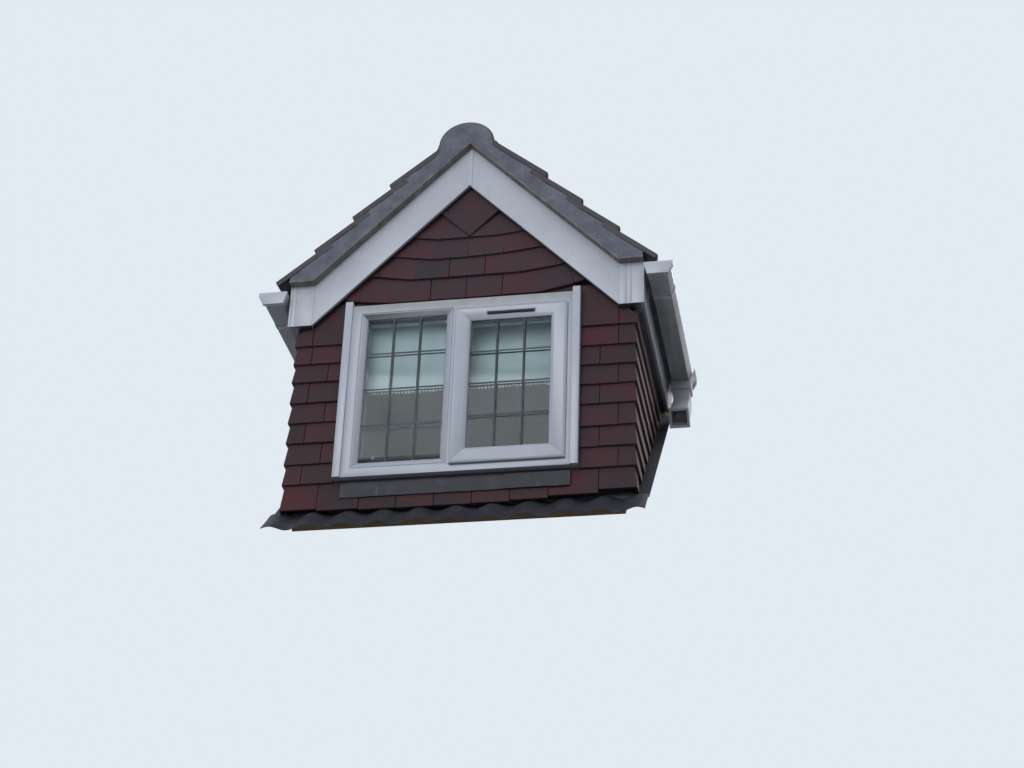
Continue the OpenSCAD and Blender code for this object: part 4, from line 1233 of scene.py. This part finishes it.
# %% Half-round shell
def tiles_top(x, y=None):
    """Height of the top course at x, over its rolls or at the place y."""
    nose = on_roof(nose_s(COURSES - 1), CREST_H)
    crest = nose[1] + (nose[0] - x) * math.tan(TILE_PITCH)
    return crest - (0 if y is None else (WAVE_D - roll(y)) / math.cos(TILE_PITCH))


RIDGE_Z = tiles_top(RIDGE_R) + 0.3
ridge_end = node_box("ridge_tiles")[1].y


def half_round(bm, y0, y1, radius, thickness, spread_angle=math.pi):
    """Adds a half-round shell over the ridge from y0 to y1."""
    start = (math.pi - spread_angle) / 2
    x, z = radius * math.cos(start), RIDGE_Z + radius * math.sin(start)
    line = [bm.verts.new((x, y0, z)), bm.verts.new((x, y1, z))]
    edge = bm.edges.new(line)
    bmesh.ops.spin(
        bm, geom=[*line, edge], axis=(0, 1, 0), cent=(0, 0, RIDGE_Z), steps=28,
        angle=-spread_angle, use_merge=False,
    )
    strip = list(bm.faces)[-28:]
    bmesh.ops.recalc_face_normals(bm, faces=strip)
    if strip[14].normal.z < 0:
        bmesh.ops.reverse_faces(bm, faces=strip)
    bmesh.ops.solidify(bm, geom=strip, thickness=thickness)


def widen(bm):
    """Widens what lies over the ridge and moves it to where the ridge tiles lie."""
    bmesh.ops.scale(bm, vec=Vector((RIDGE_HALF / RIDGE_R, 1, 1)), verts=bm.verts)
    bmesh.ops.translate(bm, vec=Vector((RIDGE_X, 0, 0)), verts=bm.verts)


# %% Lay the ridge
ridge = toned_bmesh()
ridge_joints = []
y = -VERGE_Y
while y < ridge_end:
    one = toned_bmesh()
    half_round(one, y + 3, min(y + RIDGE_LEN - 3, ridge_end), RIDGE_R, RIDGE_T)
    round_edges(one, 2.5, 2)
    set_tone(one, one.faces, rng.gauss(0.45, 0.2))
    bmesh.ops.translate(one, vec=Vector((0, 0, rng.uniform(-0.8, 0.8))), verts=one.verts)
    join(ridge, one)
    if y > -VERGE_Y:
        ridge_joints.append(y)
    y += RIDGE_LEN
widen(ridge)
cut(ridge, (0, 0, valley_z), (0, 1, -1))
finish_piece(ridge, "half_round_ridge", [roof_tile_finish], "ridge_tiles", smooth=40)

# %% Ridge bedding and pointing
bedding = bmesh.new()
for y in ridge_joints:
    half_round(bedding, y - 6, y + 6, RIDGE_R + 0.8, RIDGE_T)
widen(bedding)
for side in (-1, 1):
    strip = bmesh.new()

    def bed_section(u, side=side):
        y = -VERGE_Y + 8 + (ridge_end + VERGE_Y - 20) * u
        lump = 3 * noise.noise(Vector((y / 35, side * 7, 0)))
        rim = RIDGE_HALF + side * RIDGE_X
        out = rim + 12 + 1.6 * lump
        points = (
            (rim - 9, RIDGE_Z + 13), (rim + 2 + lump, RIDGE_Z + 7 + lump / 2),
            (out, tiles_top(out, y) + 5), (out + 6, tiles_top(out + 6, y) - 3),
            (rim - 9, tiles_top(rim - 9, y) - 4),
        )
        return [(side * x, y, max(z, RIDGE_Z - 60)) for x, z in points]

    bed(strip, 170, bed_section)
    join(bedding, strip)
cut(bedding, (0, 0, valley_z), (0, 1, -1))
finish_piece(bedding, "ridge_bedding", [mortar_finish], smooth=50)

# %% [markdown]
# ## The verge
#
# Between the undercloak and the verge tiles the roofer packs mortar and strikes
# it smooth with a trowel. It fills the end of the ridge too. Its face is a
# closed bed that runs from the ridge to the eaves, a few millimetres uneven.

# %% Underside of the verge tiles
MORTAR_FRONT, MORTAR_BACK = 2.5, 30.0
KICK_Z = BOX_TOP + UNDERCLOAK_T
END_SHARE = 0.3


def under_tiles(x, side):
    """Height of the underside of the verge tiles at distance x from the ridge."""
    s = x / math.cos(ROOF_PITCH)
    for _ in range(3):
        k = min(COURSES - 1, max(0, math.floor((EAVES_S - s) / TILE_GAUGE)))
        h = TILE_NOSE_H - (nose_s(k) - s) * TILE_STEP / TILE_GAUGE + roll(-VERGE_Y + 10) - 2
        h += NOSE_LIFT[side][k]
        s = (x - h * math.sin(ROOF_PITCH)) / math.cos(ROOF_PITCH)
    return on_roof(s, h)[1]


# %% Section of the mortar
def mortar_section(u, side):
    """The first stations fill the end of the ridge, the others run down the verge."""
    rim = RIDGE_HALF - 7
    edge = rim + side * RIDGE_X
    if u < END_SHARE:
        x = edge * math.sin(u / END_SHARE * math.pi / 2)
        off = min(1.0, abs(side * x - RIDGE_X) / rim)
        high = max(RIDGE_Z + (RIDGE_R - 7) * math.sqrt(1 - off * off), under_tiles(x, side))
        high = min(high, RIDGE_Z + RIDGE_R - 7)
    else:
        x = edge + 0.5 + (EAVES_HALF - 2 - edge) * (u - END_SHARE) / (1 - END_SHARE)
        high = under_tiles(x, side)
    low = KICK_Z if x > BOX_INNER - 1 else max(roof_z(x, UNDERCLOAK_T), KICK_Z)
    high = max(high, low + 8)
    proud = MORTAR_FRONT - 5.5 * min(1.0, max(0.0, 1 - (x - edge) / 25))
    place = Vector((side * x / 70, 5, 0))
    face = [
        -VERGE_Y + proud + 2.2 * noise.noise(place + Vector((0, row * 0.7, 1)))
        for row in range(4)
    ]
    lip = 3 + 3 * noise.noise(Vector((side * x / 25, 3, 0)))
    back = -VERGE_Y + MORTAR_BACK
    points = (
        (-VERGE_Y - 0.8, low - lip), (face[0], low + 3), (face[1], low + (high - low) * 0.35),
        (face[2], low + (high - low) * 0.7), (face[3] + 1, high - 1.5), (face[3] + 4, high),
        (back, high), (back, low + 0.5), (-VERGE_Y + 1, low + 0.5), (-VERGE_Y + 0.2, low - lip),
    )
    return [(side * x, y, z) for y, z in points]


# %% Bed both verges
mortar = bmesh.new()
for side in (-1, 1):
    strip = bmesh.new()
    bed(strip, 160, lambda u, side=side: mortar_section(u, side))
    join(mortar, strip)
finish_piece(mortar, "verge_bedding", [mortar_finish], "verge_mortar", smooth=50)

# %% [markdown]
# ## Dressed lead
#
# Sheet lead is beaten over what lies below it with a wooden dresser, which
# leaves it softly uneven. The apron under the window is two sheets that lap.
# The one at the foot follows the rolls of the main tiles.

# %% Window apron
LEAD_T, LAP_X, LAP_W, APRON_BACK, APRON_REST = 3.0, 215.0, 25.0, 21, 34
apron_low, apron_high = node_box("window_apron")


def dress_apron(bm, x0, x1, out, seed):
    """Adds one sheet: out from under the frame, over the edge and down the tiles."""
    top = apron_high.z - LEAD_T / 2

    def place(u, v):
        x = x0 + (x1 - x0) * u
        ripple = 1.3 * noise.noise(Vector((x / 55, v * 3, seed)))
        foot = apron_low.z + 2.5 * noise.noise(Vector((x / 80, 0, seed + 5)))
        reach = v * (APRON_REST + top - foot)
        if reach < APRON_REST:
            return x, -APRON_BACK - reach, top + 0.3 * ripple
        return x, -HUNG_OUT + LEAD_T / 2 - out - abs(ripple), top - (reach - APRON_REST)

    sheet_grid(bm, max(8, int((x1 - x0) / 14)), 14, place, LEAD_T)


apron = bmesh.new()
dress_apron(apron, apron_low.x, LAP_X + LAP_W, out=0.0, seed=2)
dress_apron(apron, LAP_X, apron_high.x, out=4.5, seed=8)
finish_piece(apron, "lapped_window_apron", [lead_finish], "window_apron", smooth=50)

# %% Foot apron
foot_low, foot_high = node_box("foot_apron")
SOLE_T, APRON_ROLL, APRON_DROP = 50.0, 21.0, 150.0


def dress_foot(u, v):
    x = foot_low.x + (foot_high.x - foot_low.x) * u
    n = SOLE_T + 2.5 + APRON_ROLL * (1 + math.cos(math.tau * x / WAVE)) / 2
    n += 1.2 * noise.noise(Vector((x / 45, v * 3, 0)))
    foot = -APRON_DROP + 4 + 4 * noise.noise(Vector((x / 90, 9, 0)))
    s = foot + (n - foot - 1) * v
    y = (s - n) * math.cos(MAIN_PITCH)
    z = (s + n) * math.sin(MAIN_PITCH)
    return x, y, min(z, HUNG_FOOT - 2)


lead = bmesh.new()
sheet_grid(lead, 150, 14, dress_foot, LEAD_T)
block(lead, (-WALL_HALF, -4, 74), (WALL_HALF, -0.5, HUNG_FOOT + 20), 0.5)
# the sheet's ends are turned up behind the corner tiles
for side in (-1, 1):
    ends = span(side, WALL_HALF - 90, CORNER - 22)
    block(lead, (ends[0], -9, 44), (ends[1], -6, HUNG_FOOT + 40), 0.5)
finish_piece(lead, "dressed_foot_apron", [lead_finish], "foot_apron", smooth=50)

# %% [markdown]
# ## The floor and the light
#
# The studio is a pale floor far below, a pale backdrop and soft light. To the
# eye the world is almost white, and the floor pale. As light on the object the
# world is dimmer below than above, so that soffits stay darker than walls.
# These lengths are in metres.

# %% Floor
FLOOR_REACH, FLOOR_Z = 60.0, -5.7


def seen_by_eye(tree):
    """Is 1 for what the camera sees, straight, in a reflection or through glass."""
    path = add_node(tree, "LightPath").outputs
    seen = path["Is Camera Ray"]
    for kind in ("Is Glossy Ray", "Is Transmission Ray"):
        seen = add_node(tree, "Math", {0: seen, 1: path[kind]}, operation="MAXIMUM").outputs[0]
    return seen


ground = bmesh.new()
level = Matrix.Translation((0, 0, FLOOR_Z))
bmesh.ops.create_grid(ground, x_segments=1, y_segments=1, size=FLOOR_REACH, matrix=level)
mesh = bpy.data.meshes.new("floor")
ground.to_mesh(mesh)
ground.free()
floor = bpy.data.objects.new("floor", mesh)
bpy.context.scene.collection.objects.link(floor)
floor_finish, tree, shader, place = start_material("studio_floor", Roughness=0.9)
inputs = {0: seen_by_eye(tree), 6: linear("#6e6f71"), 7: linear("#e6ebf0")}
body = add_node(tree, "Mix", inputs, data_type="RGBA").outputs[2]
tree.links.new(body, shader.inputs["Base Color"])
mesh.materials.append(floor_finish)

# %% World
world = bpy.data.worlds.new("studio")
bpy.context.scene.world = world
world.use_nodes = True
tree = world.node_tree
background = tree.nodes["Background"]
direction = add_node(tree, "TexCoord").outputs["Generated"]
dome = add_node(tree, "ValToRGB", {"Fac": share_of_height(tree, direction, -1.0, 1.0)}, [
    (0.3, "#2e2f32"), (0.5, "#9ea2a8"), (0.75, "#d5dce6"),
])
inputs = {0: seen_by_eye(tree), 6: dome.outputs["Color"], 7: linear("#e2eaf2")}
body = add_node(tree, "Mix", inputs, data_type="RGBA").outputs[2]
tree.links.new(body, background.inputs["Color"])
background.inputs["Strength"].default_value = 1.0


# %% Lamps
def lamp(name, place, aim, size, power, colour):
    """Adds a soft square lamp that points at aim."""
    data = bpy.data.lights.new(name, "AREA")
    data.size = size
    data.energy = power
    data.color = linear(colour)[:3]
    light = bpy.data.objects.new(name, data)
    light.location = place
    light.rotation_euler = (Vector(aim) - Vector(place)).to_track_quat("-Z", "Y").to_euler()
    bpy.context.scene.collection.objects.link(light)


lamp("front_fill", (-1.5, -8.4, 3.0), (0, 0, 1.0), 5.0, 350, "#f2f5fa")
lamp("sun_side", (4.5, 6.5, 7.5), (0, 0.5, 1.2), 2.5, 390, "#fff6ea")

bpy.context.scene.view_settings.view_transform = "Standard"
